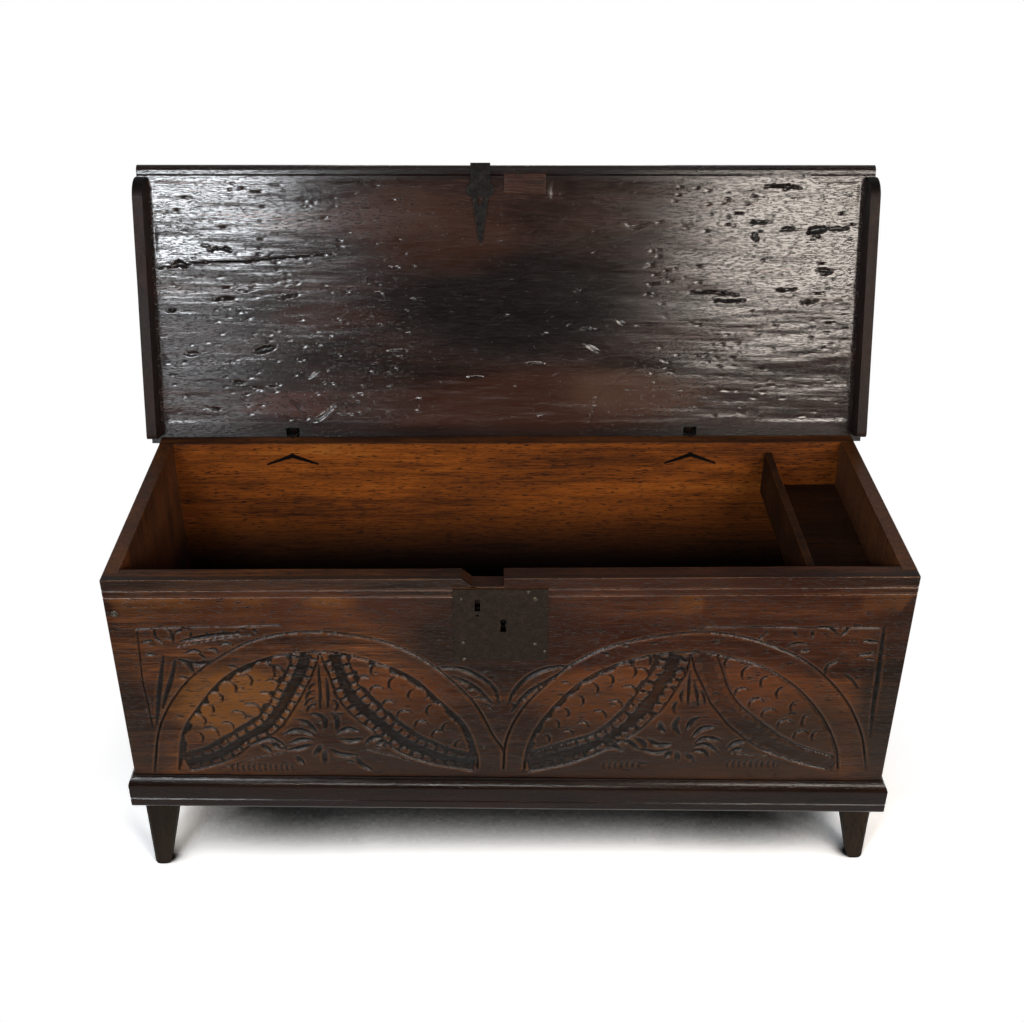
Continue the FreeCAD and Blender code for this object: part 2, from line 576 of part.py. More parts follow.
# ---------------------------------------------------------------- check and write
doc.recompute()
for thing in doc.Objects:
    if "Invalid" in thing.State or "Error" in thing.State:
        raise RuntimeError(f"{thing.Name}: {thing.getStatusString()}")
os.makedirs("parts", exist_ok=True)
for thing in NODES:
    shape = thing.Shape
    if shape.isNull() or not shape.isValid() or not shape.Solids:
        raise RuntimeError(f"{thing.Label} has no sound solid")
    shape.exportStep(f"parts/{thing.Label}.step")
whole = Part.makeCompound([thing.Shape for thing in NODES]).BoundBox
print(f"{len(NODES)} pieces, {whole.XLength:.1f} x {whole.YLength:.1f} x {whole.ZLength:.1f} mm")
print(f"centre of the footprint: {whole.Center.x:.3f}, {whole.Center.y:.3f}, lowest {whole.ZMin:.3f}")
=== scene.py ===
# %% [markdown]
# # A carved oak coffer
# A coffer is a box of nailed oak boards with a hinged lid. Its places and sizes come from the
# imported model, which this lesson loads first and never moves. What is added here is what a
# carver's gouge, three hundred years of wax and many worms did to it: relief, wear, pits, nails
# and the finishes. Carving could be faked with bump alone, but a bump has no outline and casts no
# shadow, so every cut that the eye can follow is made in the mesh.

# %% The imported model
import json
import math
from functools import partial

import bmesh
import bpy
import numpy as np
from mathutils import Matrix, Vector


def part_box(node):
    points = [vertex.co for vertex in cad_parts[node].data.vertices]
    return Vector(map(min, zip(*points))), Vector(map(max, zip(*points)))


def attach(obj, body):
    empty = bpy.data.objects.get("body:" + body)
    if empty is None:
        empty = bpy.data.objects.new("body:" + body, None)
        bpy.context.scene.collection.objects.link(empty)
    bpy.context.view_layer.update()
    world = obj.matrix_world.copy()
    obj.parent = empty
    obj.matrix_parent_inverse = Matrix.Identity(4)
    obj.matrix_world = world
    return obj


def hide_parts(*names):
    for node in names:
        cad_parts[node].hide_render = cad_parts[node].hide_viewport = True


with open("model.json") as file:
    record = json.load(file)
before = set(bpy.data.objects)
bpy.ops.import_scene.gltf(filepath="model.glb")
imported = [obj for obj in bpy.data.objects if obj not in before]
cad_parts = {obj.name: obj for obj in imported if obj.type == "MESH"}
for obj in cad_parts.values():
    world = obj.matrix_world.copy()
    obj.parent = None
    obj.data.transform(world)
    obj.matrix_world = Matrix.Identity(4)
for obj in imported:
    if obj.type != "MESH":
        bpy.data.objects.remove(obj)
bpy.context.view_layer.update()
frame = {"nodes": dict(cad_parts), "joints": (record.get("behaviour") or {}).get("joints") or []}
MM = 0.001

# %% [markdown]
# ## The camera
# The camera stands a little left of the middle and looks down into the chest. Its place, turn and
# lens were worked out together from the corners of the case, the rim and the lid.

# %% Camera
SENSOR = 36.0                         # millimetres
FOCAL_IN_PIXELS, FRAME_WIDTH = 1338.8, 1024
STAND = (-0.0332, -1.8402, 1.6003)
YAW, PITCH, ROLL = -1.18, 31.11, 0.38  # degrees: turned right, looking down, tipped
lens = bpy.data.cameras.new("camera")
lens.sensor_width = SENSOR
lens.lens = SENSOR * FOCAL_IN_PIXELS / FRAME_WIDTH
camera = bpy.data.objects.new("camera", lens)
bpy.context.scene.collection.objects.link(camera)
bpy.context.scene.camera = camera
aim = Matrix.Translation(STAND)
for angle, axis in ((YAW, "Z"), (90 - PITCH, "X"), (ROLL, "Z")):
    aim = aim @ Matrix.Rotation(math.radians(angle), 4, axis)
camera.matrix_world = aim
bpy.context.scene.view_settings.view_transform = "Standard"
print("lens", round(lens.lens, 2), "mm")

# %% [markdown]
# ## One function for nodes
# Every finish is a tree of shader nodes. This one function adds a node, sets what it is given,
# links the sockets it is handed, and returns the output that the next node reads. Colours are
# written as the familiar hex codes, which are sRGB, and one function turns them to linear light.


# %% Helpers for the finishes
def tone(code):
    """The linear colour of an sRGB hex code such as 8a4a18."""
    parts = [int(code[i:i + 2], 16) / 255 for i in (0, 2, 4)]
    return tuple(c / 12.92 if c <= 0.04045 else ((c + 0.055) / 1.055) ** 2.4 for c in parts) + (1.0,)


def node(tree, kind, inputs=None, out=0, steps=(), **settings):
    """Adds one node with its settings, values and links, and returns one of its outputs."""
    made = tree.nodes.new("ShaderNode" + kind)
    for name, value in settings.items():
        setattr(made, name, value)
    if steps:
        bar = made.color_ramp.elements
        bar.remove(bar[1])
        bar[0].position, bar[0].color = steps[0]
        for spot, colour in steps[1:]:
            bar.new(spot).color = colour
    for name, value in (inputs or {}).items():
        if isinstance(value, bpy.types.NodeSocket):
            tree.links.new(value, made.inputs[name])
        else:
            made.inputs[name].default_value = value
    return made.outputs[out] if len(made.outputs) else made


def new_material(name):
    """An empty material, and the node function bound to its tree."""
    material = bpy.data.materials.new(name)
    material.use_nodes = True
    material.node_tree.nodes.clear()
    return material, partial(node, material.node_tree)


print("mid oak brown in linear light:", [round(part, 3) for part in tone("7c4b24")[:3]])

# %% [markdown]
# ## Floor, room and lamps
# The chest stands on a pale studio floor. Near the chest the floor is a real matt surface, so it
# keeps the shadow between the feet, and painted shade deepens it a little: the floor's colour
# darkens where a spot sees little of the room.
# Further out it is plain white to the camera. For bounced light and gloss the pale paper fades out
# within a third of a metre in front of the chest, and the floor and room beyond it are dark, so
# the wax reflects darkness and looks deep.
# A warm key lamp stands low on the right and a weaker cool one on the left, so the front is lit
# and the bottom of the chest stays dark. The three sheen lamps are there for the lid, which leans
# back: it mirrors them as a cool sheen on the left and a warm one on the right. A long low strip
# draws a thin glint along the mouldings, and weak lamps above and behind fill in.

# %% Floor
NEAR_HALF_WIDTH, NEAR_HALF_DEPTH, NEAR_FADE = 0.60, 0.30, 0.14
PAPER_END, PAPER_FULL = -0.62, -0.36
bpy.ops.object.select_all(action="DESELECT")
bpy.ops.mesh.primitive_plane_add(size=30)
floor = bpy.context.object
floor.name = "floor"
matt_floor, add = new_material("matt_studio_floor")
spot = add("SeparateXYZ", {"Vector": add("TexCoord", out="Object")}).node.outputs
far = -1.0
for axis, half in (("X", NEAR_HALF_WIDTH), ("Y", NEAR_HALF_DEPTH)):
    out = add("Math", {0: spot[axis]}, operation="ABSOLUTE")
    out = add("Math", {0: out, 1: half}, operation="SUBTRACT")
    far = add("Math", {0: out, 1: far}, operation="MAXIMUM")
far = add("MapRange", {"Value": far, "From Min": 0.0, "From Max": NEAR_FADE},
          interpolation_type="SMOOTHSTEP")
paper = add("MapRange", {"Value": spot["Y"], "From Min": PAPER_END, "From Max": PAPER_FULL})
path = add("LightPath").node.outputs
gloss = add("Math", {0: path["Is Glossy Ray"], 1: path["Is Transmission Ray"]}, operation="MAXIMUM")
gloss = add("Math", {0: gloss, 1: paper}, operation="MULTIPLY")
seen = add("Math", {0: gloss, 1: path["Is Camera Ray"]}, operation="MAXIMUM")
# Painted shade: the floor's colour below turns darker where less of the room can be seen.
open_sky = add("AmbientOcclusion", {"Distance": 0.30}, out="AO", samples=32)
lit = add("MapRange", {"Value": open_sky, "From Min": 0.325, "From Max": 0.60, "To Min": 0.01,
                       "To Max": 1.9}, interpolation_type="SMOOTHSTEP")
matt = add("BsdfDiffuse", {"Color": lit})
plain = add("Emission", {"Color": (1, 1, 1, 1), "Strength": 1.0})
shown = add("MixShader", {0: far, 1: matt, 2: plain})
room_floor = add("Mix", {0: paper, 6: tone("202020"), 7: tone("c8c8c8")}, out=2, data_type="RGBA")
bounce = add("BsdfDiffuse", {"Color": room_floor})
add("OutputMaterial", {"Surface": add("MixShader", {0: seen, 1: bounce, 2: shown})})
floor.data.materials.append(matt_floor)
print("floor:", tuple(round(side, 1) for side in floor.dimensions[:2]), "m")

# %% Room
WHITE_IN_GLOSS = 0.3                  # how much of the white backdrop the wax mirrors
world = bpy.data.worlds.new("room")
bpy.context.scene.world = world
world.use_nodes = True
world.node_tree.nodes.clear()
add = partial(node, world.node_tree)
way = add("SeparateXYZ", {"Vector": add("TexCoord", out="Generated")}).node.outputs
behind = add("Math", {0: way["Y"], 1: 0.0}, operation="GREATER_THAN")
path = add("LightPath").node.outputs
gloss = add("Math", {0: path["Is Glossy Ray"], 1: path["Is Transmission Ray"]}, operation="MAXIMUM")
gloss = add("Math", {0: gloss, 1: behind}, operation="MULTIPLY")
gloss = add("Math", {0: gloss, 1: WHITE_IN_GLOSS}, operation="MULTIPLY")
white = add("Math", {0: gloss, 1: path["Is Camera Ray"]}, operation="MAXIMUM")
dim = add("Background", {"Color": (0.035, 0.035, 0.037, 1)})
backdrop = add("Background", {"Color": (1, 1, 1, 1), "Strength": 1.0})
add("OutputWorld", {"Surface": add("MixShader", {0: white, 1: dim, 2: backdrop})})
print("room nodes:", len(world.node_tree.nodes))


# %% Lamps
def lamp(name, spot, target, size, power, colour):
    """One soft lamp, so wide and so high, that faces its target."""
    light = bpy.data.lights.new(name, "AREA")
    light.shape = "RECTANGLE"
    light.size, light.size_y = size
    light.energy = power
    light.color = colour
    holder = bpy.data.objects.new(name, light)
    bpy.context.scene.collection.objects.link(holder)
    way = Vector(target) - Vector(spot)
    turn = way.to_track_quat("-Z", "Y").to_matrix().to_4x4()
    holder.matrix_world = Matrix.Translation(spot) @ turn
    print(name, power, "W,", round(way.length, 2), "m from its target")


COOL, WARM, TAWNY, PALE = (0.92, 0.96, 1.0), (1.0, 0.95, 0.88), (1.0, 0.91, 0.82), (1.0, 0.98, 0.95)
ON_LID = (0.0, 0.2, 0.75)
lamp("key_right", (2.1, -2.3, 1.45), (0.1, 0.0, 0.5), (0.7, 0.7), 36, WARM)
lamp("key_left", (-2.1, -2.3, 1.45), (-0.1, 0.0, 0.5), (0.7, 0.7), 18, COOL)
lamp("sheen_left", (-1.16, -2.55, 1.93), ON_LID, (0.62, 0.36), 35, COOL)
lamp("sheen_low", (-1.25, -2.55, 1.20), ON_LID, (0.6, 0.40), 4, COOL)
lamp("sheen_right", (1.16, -2.55, 1.72), ON_LID, (0.75, 0.7), 31, TAWNY)
lamp("glint_low", (-0.15, -2.55, 0.42), (0.0, 0.0, 0.45), (1.0, 0.10), 16, PALE)
lamp("lamp_above", (0.0, -0.9, 2.9), (0.0, -0.1, 0.3), (1.6, 1.6), 4, (1.0, 1.0, 1.0))
lamp("fill_behind", (0.0, 2.8, 1.7), (0.0, 0.1, 0.5), (1.2, 1.2), 20, (1.0, 0.97, 0.94))

# %% [markdown]
# ## Old oak
# Oak shows broad patches of colour, growth rings drawn out along the board, fine fibres and short
# open pores. Each is the same noise stretched to a real length and width in metres, along the
# grain and across it. Fibres are really a quarter of a millimetre wide, and are drawn about two
# millimetres wide so that they show. Centuries of wax and smoke darken the outside, and the
# inside stays dry and orange-brown, so one mask tells the two apart: the inside of the case is
# whatever lies within its inner walls and below its rim.

# %% Grain
FIGURE = {"patches": (0.28, 0.060, 4.0), "rings": (0.50, 0.010, 3.0),
          "fibres": (0.050, 0.0019, 3.0), "pores": (0.014, 0.0017, 1.0)}  # length, width, detail
BENDS_PER_METRE, BEND = 3.5, 0.014
DRY_CENTRE = (0.0, -0.0716, 0.36)
DRY_HALVES = {"X": 0.5545, "Y": 0.1885, "Z": 0.190}


def grain(add, along, seed, figure=()):
    """The layers of oak's figure, each from 0 to 1, on a board whose grain runs along one axis."""
    spot = add("TexCoord", out="Object")
    moved = add("Mapping", {"Vector": spot, "Location": (seed, seed * 0.7, seed * 0.3)})
    wave = add("TexNoise", {"Vector": moved, "Scale": BENDS_PER_METRE, "Detail": 2.0}, out="Color")
    wave = add("VectorMath", {0: wave, 1: (-0.5, -0.5, -0.5)}, operation="ADD")
    wave = add("VectorMath", {0: wave, "Scale": BEND}, operation="SCALE")
    bent = add("VectorMath", {0: moved, 1: wave}, operation="ADD")
    layers = {"spot": spot}
    for name, (length, width, detail) in {**FIGURE, **dict(figure)}.items():
        scale = [1 / width] * 3
        scale["XYZ".index(along)] = 1 / length
        place = add("Mapping", {"Vector": bent, "Scale": scale})
        layers[name] = add("TexNoise", {"Vector": place, "Scale": 1.0, "Detail": detail,
                                        "Roughness": 0.62}, out="Fac")
    return layers


def inside_of_case(add, spot, ragged):
    """1 on the dry inside of the case, 0 outside it, with an edge that follows the grain."""
    local = add("VectorMath", {0: spot, 1: DRY_CENTRE}, operation="SUBTRACT")
    local = add("VectorMath", {0: local}, operation="ABSOLUTE")
    apart = add("SeparateXYZ", {"Vector": local}).node.outputs
    far = -1.0
    for axis, half in DRY_HALVES.items():
        over = add("Math", {0: apart[axis], 1: half}, operation="SUBTRACT")
        far = add("Math", {0: over, 1: far}, operation="MAXIMUM")
    far = add("Math", {0: ragged, 1: 0.002, 2: far}, operation="MULTIPLY_ADD")
    return add("MapRange", {"Value": far, "From Min": 0.0005, "From Max": 0.0012, "To Min": 1.0,
                            "To Max": 0.0})


def weighted(add, layers, weights):
    """The layers added up, each with its weight."""
    total = 0.0
    for name, weight in weights.items():
        total = add("Math", {0: layers[name], 1: weight, 2: total}, operation="MULTIPLY_ADD")
    return total


print("grain layers:", ", ".join(FIGURE))


# %% Stains, painted shade and pores
def stops(codes, start, step):
    """Evenly spaced stops of a colour ramp, dark to light."""
    return [(start + step * i, tone(code)) for i, code in enumerate(codes)]


def under_stains_and_shade(add, colour, layers, marks):
    """The colour under soft marks, which are stains and painted shade. Each mark has a centre, radii, a
    colour and a strength.
    """
    ragged = weighted(add, layers, {"patches": 0.5, "rings": 0.3})
    for centre, radii, code, strength in marks:
        place = add("Mapping", {"Vector": layers["spot"], "Location": centre, "Scale": radii},
                    vector_type="TEXTURE")
        ball = add("TexGradient", {"Vector": place}, out="Fac", gradient_type="SPHERICAL")
        ball = add("Math", {0: ball, 1: ragged}, operation="ADD")
        mark = add("MapRange", {"Value": ball, "From Min": 0.49, "From Max": 0.96, "To Max": strength},
                   interpolation_type="SMOOTHSTEP")
        colour = add("Mix", {0: mark, 6: colour, 7: tone(code)}, out=2, data_type="RGBA")
    return colour


def open_pores(add, layers, pitted):
    """Where the pores are open. A pitted board has few near its middle and many at its ends."""
    if not pitted:
        return add("MapRange", {"Value": layers["pores"], "From Min": 0.57, "From Max": 0.68})
    ends = add("SeparateXYZ", {"Vector": layers["spot"]}).node.outputs["X"]
    ends = add("Math", {0: ends, 1: -0.02}, operation="ADD")
    ends = add("Math", {0: ends}, operation="ABSOLUTE")
    limit = add("MapRange", {"Value": ends, "From Min": 0.10, "From Max": 0.30, "To Min": pitted[0],
                             "To Max": pitted[1]}, interpolation_type="SMOOTHSTEP")
    over = add("Math", {0: layers["pores"], 1: limit}, operation="SUBTRACT")
    return add("MapRange", {"Value": over, "From Min": 0.0, "From Max": 0.07})


print("stops for three colours:", [spot for spot, _ in stops(("0e0704", "3d2110", "7c4b24"), 0.43, 0.2)])


# %% One oak, many finishes
def oak(name, colours, along="X", seed=0.0, rough=(0.4, 0.62), marks=(), dry=None, edge="6b3f20",
        dirty="0b0907", relief=0.0004, shine=0.5, figure=(), pitted=None, outer=None, caked=0.6):
    """Hand-planed oak with figure, stains, wear, gloss, painted shade and painted highlights. Waxed wood
    keeps an IOR near 1.5.
    """
    material, add = new_material(name)
    layers = grain(add, along, seed, figure)
    shade = weighted(add, layers, {"patches": 0.56, "rings": 0.32, "fibres": 0.38})
    worn = add("Attribute", out="Fac", attribute_name="worn")
    dirt = add("Attribute", out="Fac", attribute_name="dirt")
    states = [(worn, 0.22)]
    colour = add("ValToRGB", {"Fac": shade}, steps=stops(colours, 0.43, 0.40 / (len(colours) - 1)))
    if dry:
        inner = inside_of_case(add, layers["spot"], layers["fibres"])
        bare = add("ValToRGB", {"Fac": shade}, steps=stops(dry, 0.45, 0.13))
        colour = add("Mix", {0: inner, 6: colour, 7: bare}, out=2, data_type="RGBA")
        states.append((inner, 0.75))
    colour = under_stains_and_shade(add, colour, layers, marks)
    if outer:
        above = add("Attribute", out="Fac", attribute_name="outer")
        top = add("ValToRGB", {"Fac": shade}, steps=stops(outer, 0.43, 0.13))
        colour = add("Mix", {0: above, 6: colour, 7: top}, out=2, data_type="RGBA")
        states.append((above, 0.42))
    states.append((dirt, caked))
    # Painted highlight and painted shade in the colour: rubbed rims get the edge colour, for wear and a
    # painted highlight; marked recesses and pits get the dark colour, for grime and painted shade.
    rub_and_highlight = add("Math", {0: worn, 1: layers["rings"]}, operation="MULTIPLY")
    pores = open_pores(add, layers, pitted)
    dark = add("Math", {0: pores, 1: 0.85}, operation="MULTIPLY")
    for mask, code in ((rub_and_highlight, edge), (dirt, dirty), (dark, "0b0604")):
        colour = add("Mix", {0: mask, 6: colour, 7: tone(code)}, out=2, data_type="RGBA")
    gloss = weighted(add, layers, {"patches": 0.45, "fibres": 0.55})
    roughness = add("MapRange", {"Value": gloss, "From Min": 0.35, "From Max": 0.65,
                                 "To Min": rough[0], "To Max": rough[1]})
    for mask, value in states:
        roughness = add("Mix", {0: mask, 2: roughness, 3: value}, data_type="FLOAT")
    pit = -1.2 if pitted else -0.4
    height = weighted(add, {**layers, "pit": pores}, {"fibres": 0.5, "rings": 0.5, "pit": pit})
    normal = add("Bump", {"Height": height, "Distance": relief, "Strength": 1.0})
    shader = add("BsdfPrincipled", {"Base Color": colour, "Roughness": roughness, "Normal": normal,
                                    "IOR": 1.5, "Specular IOR Level": shine})
    add("OutputMaterial", {"Surface": shader})
    print(name, "nodes:", len(material.node_tree.nodes))
    return material


# %% Palettes, stains and painted shade: a mark has a centre and radii in metres, a colour and a strength
BROWN = ("0e0704", "25130a", "3d2110", "5e3518", "7c4b24")
DRY = ("241003", "542909", "7a3f0f", "8e541d")
STAINS_AND_SHADE = (((0.0, -0.287, 0.568), (4.0, 0.016, 0.056), "1c130e", 0.8),
          ((0.054, -0.287, 0.512), (0.0030, 0.3, 0.026), "070504", 0.95),
          ((-0.02, -0.287, 0.45), (0.20, 0.3, 0.13), "100e0b", 0.9),
          ((-0.15, -0.287, 0.51), (0.10, 0.3, 0.05), "100f0d", 0.85),
          ((-0.57, -0.287, 0.26), (0.07, 0.3, 0.22), "1a130d", 0.65),
          ((0.57, -0.287, 0.36), (0.08, 0.3, 0.32), "1b1510", 0.85),
          ((-0.27, -0.287, 0.20), (0.28, 0.3, 0.09), "3a2110", 0.7),
          ((0.27, -0.287, 0.20), (0.28, 0.3, 0.09), "38200f", 0.7),
          ((0.42, -0.287, 0.25), (0.16, 0.3, 0.13), "2e1c0e", 0.8),
          ((0.25, -0.287, 0.47), (0.50, 0.3, 0.18), "33160a", 0.55),
          ((-0.32, -0.287, 0.50), (0.30, 0.3, 0.05), "3a1b0b", 0.7),
          ((-0.41, -0.287, 0.33), (0.14, 0.3, 0.10), "805022", 0.5),
          ((0.14, -0.287, 0.33), (0.16, 0.3, 0.09), "74401a", 0.55),
          ((-0.16, -0.287, 0.33), (0.12, 0.3, 0.09), "6a3815", 0.45),
          ((0.36, -0.287, 0.35), (0.12, 0.3, 0.08), "5e3216", 0.45),
          # Painted shade: the front board darkens towards the bottom of the case, inside and low on its
          # outside.
          ((0.0, 0.0, 0.25), (0.75, 0.6, 0.20), "120a05", 0.8))
DRY_ENDS = ("1a0c03", "3a1c07", "54290b", "643512")
# Painted shade: the ends and back darken towards the bottom of the case, and the right end darkens.
PAINTED_INSIDE_SHADE = (((0.0, 0.1, 0.20), (2.40, 0.6, 0.27), "0c0602", 0.95),
        ((0.62, 0.1, 0.4), (0.20, 0.6, 0.3), "180c04", 0.8))
LID_MARKS = (((-0.20, 0.20, 0.90), (0.16, 0.3, 0.06), "3a2216", 0.6),
             ((-0.30, 0.20, 0.74), (0.16, 0.3, 0.03), "331a10", 0.6),
             ((0.16, 0.20, 0.88), (0.14, 0.3, 0.03), "33211a", 0.5),
             # Painted shade: a dark mark in the middle of the underside, between the two sheens.
             ((0.02, 0.20, 0.76), (0.30, 0.3, 0.13), "0b0706", 0.85),
             ((0.05, 0.17, 0.60), (0.36, 0.3, 0.08), "32170b", 0.75),
             ((0.22, 0.17, 0.62), (0.18, 0.3, 0.05), "4b3426", 0.5),
             ((-0.36, 0.17, 0.60), (0.10, 0.3, 0.03), "3c1b10", 0.6),
             ((-0.12, 0.26, 0.86), (0.20, 0.3, 0.08), "351d12", 0.6))
# Painted shade on the upper ends of the cleats, for their chamfered ends.
PAINTED_CLEAT_END_SHADE = (((0.0, 0.28, 0.97), (3.0, 0.4, 0.05), "080505", 0.95),)
print("stains on the front and the lid:", len(STAINS_AND_SHADE), len(LID_MARKS))

# %% The oaks of this chest
finish = {
    "front": oak("waxed_carved_oak", BROWN, marks=STAINS_AND_SHADE, dry=DRY, edge="6e4628",
                 rough=(0.30, 0.50), relief=0.0005, shine=0.28, caked=0.34),
    "ends": oak("waxed_end_oak", BROWN, along="Z", seed=3.1, dry=DRY_ENDS, marks=PAINTED_INSIDE_SHADE, shine=0.22),
    "back": oak("waxed_back_oak", BROWN, seed=5.3, dry=DRY, marks=PAINTED_INSIDE_SHADE[:1], rough=(0.5, 0.7),
                shine=0.14),
    "bottom": oak("dry_bottom_oak", ("1f1107", "38210f", "543519"), seed=9.1, rough=(0.7, 0.85),
                  shine=0.1),
    "till": oak("dry_till_oak", ("1a0d05", "2e180a", "452610"), seed=11.3, rough=(0.55, 0.75),
                shine=0.14),
    "feet": oak("scuffed_foot_oak", ("0e0a06", "201811", "33271a"), along="Z", rough=(0.55, 0.75),
                edge="3c2e1f", shine=0.08),
    "moulding": oak("blackened_moulding_oak", ("080402", "170c07", "27150c"), seed=7.7,
                    rough=(0.16, 0.28), relief=0.00018, shine=0.22),
    "lid": oak("dark_waxed_lid_oak", ("080504", "180d09", "27150e", "3a2118"), seed=1.9,
               marks=LID_MARKS, edge="2c1a14", dirty="050303", rough=(0.12, 0.22), relief=0.00017,
               figure={"fibres": (0.028, 0.0017, 3.0), "pores": (0.0095, 0.0015, 2.0)},
               pitted=(0.66, 0.54), outer=("1a0d07", "2f1a0e", "472a16", "5a381f"), caked=0.22),
    "cleats": oak("dark_waxed_cleat_oak", ("0c0705", "1f130e", "38231c"), along="Z", seed=2.6,
                  marks=PAINTED_CLEAT_END_SHADE, rough=(0.4, 0.6), edge="4a332a", relief=0.0003, shine=0.15),
    "patch": oak("let_in_patch_oak", ("1a0b06", "33170c", "4c2413"), seed=4.4, rough=(0.20, 0.34),
                 relief=0.00018, shine=0.35),
}
print("oak finishes:", len(finish))

# %% [markdown]
# ## Forged iron
# The lock, staples and strap were hammered from iron bar. Hammering leaves shallow dents about a
# centimetre across, and the scale and old wax on it are nearly black, with a dull gleam where
# hands rubbed it. So it is a metal, but a rough one, and darker in its hollows.

# %% Iron
DENTS_PER_METRE, SCALE_PER_METRE = 90.0, 420.0


def forged(name, colours, rough, deep):
    """Forged iron with dents a centimetre across and scale in them."""
    material, add = new_material(name)
    spot = add("TexCoord", out="Object")
    dents = add("TexNoise", {"Vector": spot, "Scale": DENTS_PER_METRE, "Detail": 2.0}, out="Fac")
    scale = add("TexNoise", {"Vector": spot, "Scale": SCALE_PER_METRE, "Detail": 3.0,
                             "Roughness": 0.7}, out="Fac")
    tones = add("Math", {0: dents, 1: 0.4}, operation="MULTIPLY")
    tones = add("Math", {0: scale, 1: 0.6, 2: tones}, operation="MULTIPLY_ADD")
    colour = add("ValToRGB", {"Fac": tones}, steps=stops(colours, 0.35, 0.16))
    worn = add("Attribute", out="Fac", attribute_name="worn")
    colour = add("Mix", {0: worn, 6: colour, 7: tone("6e6152")}, out=2, data_type="RGBA")
    roughness = add("MapRange", {"Value": tones, "From Min": 0.35, "From Max": 0.65,
                                 "To Min": rough[0], "To Max": rough[1]})
    height = add("Math", {0: dents, 1: 3.0, 2: scale}, operation="MULTIPLY_ADD")
    normal = add("Bump", {"Height": height, "Distance": deep, "Strength": 1.0})
    shader = add("BsdfPrincipled", {"Base Color": colour, "Roughness": roughness, "Normal": normal,
                                    "Metallic": 0.85})
    add("OutputMaterial", {"Surface": shader})
    return material


finish["iron"] = forged("forged_blackened_iron", ("0a0908", "131110", "221f1b"), (0.62, 0.42), 0.0005)
finish["nail"] = forged("rubbed_nail_iron", ("2a2621", "4c463d", "857b6b"), (0.45, 0.28), 0.0003)
finish["plate"] = forged("waxed_plate_iron", ("241d17", "342b24", "483d32"), (0.60, 0.45), 0.00018)
print("finishes:", len(finish))

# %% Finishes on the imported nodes
KINDS = {"till": ("till_",), "ends": ("_end_board",), "back": ("back_board",),
         "front": ("front_board",), "lid": ("lid_board",), "cleats": ("_cleat",),
         "patch": ("lid_patch",), "plate": ("lock_plate",), "bottom": ("bottom_", "_block"),
         "feet": ("_foot",), "moulding": ("base_moulding",)}
for name, piece in frame["nodes"].items():
    fitting = [kind for kind, words in KINDS.items() if any(word in name for word in words)]
    kind = fitting[0] if fitting else "iron"
    piece.material_slots[0].material = finish[kind]
    print(name, "->", kind)

# %% [markdown]
# ## Working a board
# A packed board has perfect arrises. On an old one they are rounded by hands and brooms, more in
# one place than in the next, and here and there a chip is gone. Each board is copied from the
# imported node, its loose triangles are merged into whole faces, and its long arrises are
# bevelled. Then cross cuts give the bevel something to vary along, and each point of it slides
# towards or away from the old sharp edge. It slides within its own flat face, so faces stay flat.


# %% Start from a packed board
def alone(piece):
    """Selects one piece and nothing else."""
    bpy.ops.object.select_all(action="DESELECT")
    piece.select_set(True)
    bpy.context.view_layer.objects.active = piece


def start_from(name, body, kind):
    """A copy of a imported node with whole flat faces, which rides as it does and stands for it."""
    piece = bpy.data.objects.new("worn_" + name, frame["nodes"][name].data.copy())
    bpy.context.scene.collection.objects.link(piece)
    alone(piece)
    bpy.ops.mesh.customdata_custom_splitnormals_clear()
    bpy.ops.object.mode_set(mode="EDIT")
    bpy.ops.mesh.select_all(action="SELECT")
    bpy.ops.mesh.remove_doubles(threshold=1e-5)
    bpy.ops.mesh.dissolve_limited(angle_limit=math.radians(0.3))
    bpy.ops.object.mode_set(mode="OBJECT")
    piece.material_slots[0].material = finish[kind]
    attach(piece, body)
    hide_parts(name)
    return piece


# %% Smooth random fields
def waves(spots, size, seed):
    """A smooth field from about -1 to 1, with bumps of about one size. The seed is fixed."""
    dice = np.random.default_rng(seed)
    total = np.zeros(len(spots))
    for _ in range(9):
        way = dice.normal(size=spots.shape[1])
        way *= dice.uniform(0.6, 1.6) * math.pi / np.linalg.norm(way)
        total += np.sin((spots / size) @ way + dice.uniform(0, 6.28))
    return total / 3.2


def points_of(mesh):
    """The vertices of a mesh as one array."""
    spots = np.empty(len(mesh.vertices) * 3)
    mesh.vertices.foreach_get("co", spots)
    return spots.reshape(-1, 3)


print("a field at three spots:", waves(np.arange(3.0)[:, None], 1.0, 0).round(2))


# %% Shading that keeps flat faces flat
def shade(piece, degrees):
    """Smooth across small angles, with the large flat faces deciding the normals they share."""
    alone(piece)
    bpy.ops.object.shade_smooth_by_angle(angle=math.radians(degrees))
    bpy.ops.object.modifier_add(type="WEIGHTED_NORMAL")
    piece.modifiers[-1].keep_sharp = True
    bpy.ops.object.modifier_apply(modifier=piece.modifiers[-1].name)


# %% Finding arrises
def pick_arrises(piece, least, where):
    """Selects the long convex edges of a board, and returns their end points."""
    work = bmesh.new()
    work.from_mesh(piece.data)
    lines = []
    for edge in work.edges:
        edge.select_set(False)
    for edge in work.edges:
        first, last = (vert.co.copy() for vert in edge.verts)
        sharp = len(edge.link_faces) == 2 and edge.calc_face_angle_signed() > math.radians(30)
        if sharp and edge.calc_length() > least and (where is None or where(first, last)):
            edge.select_set(True)
            lines.append((first, last))
    work.to_mesh(piece.data)
    work.free()
    return lines


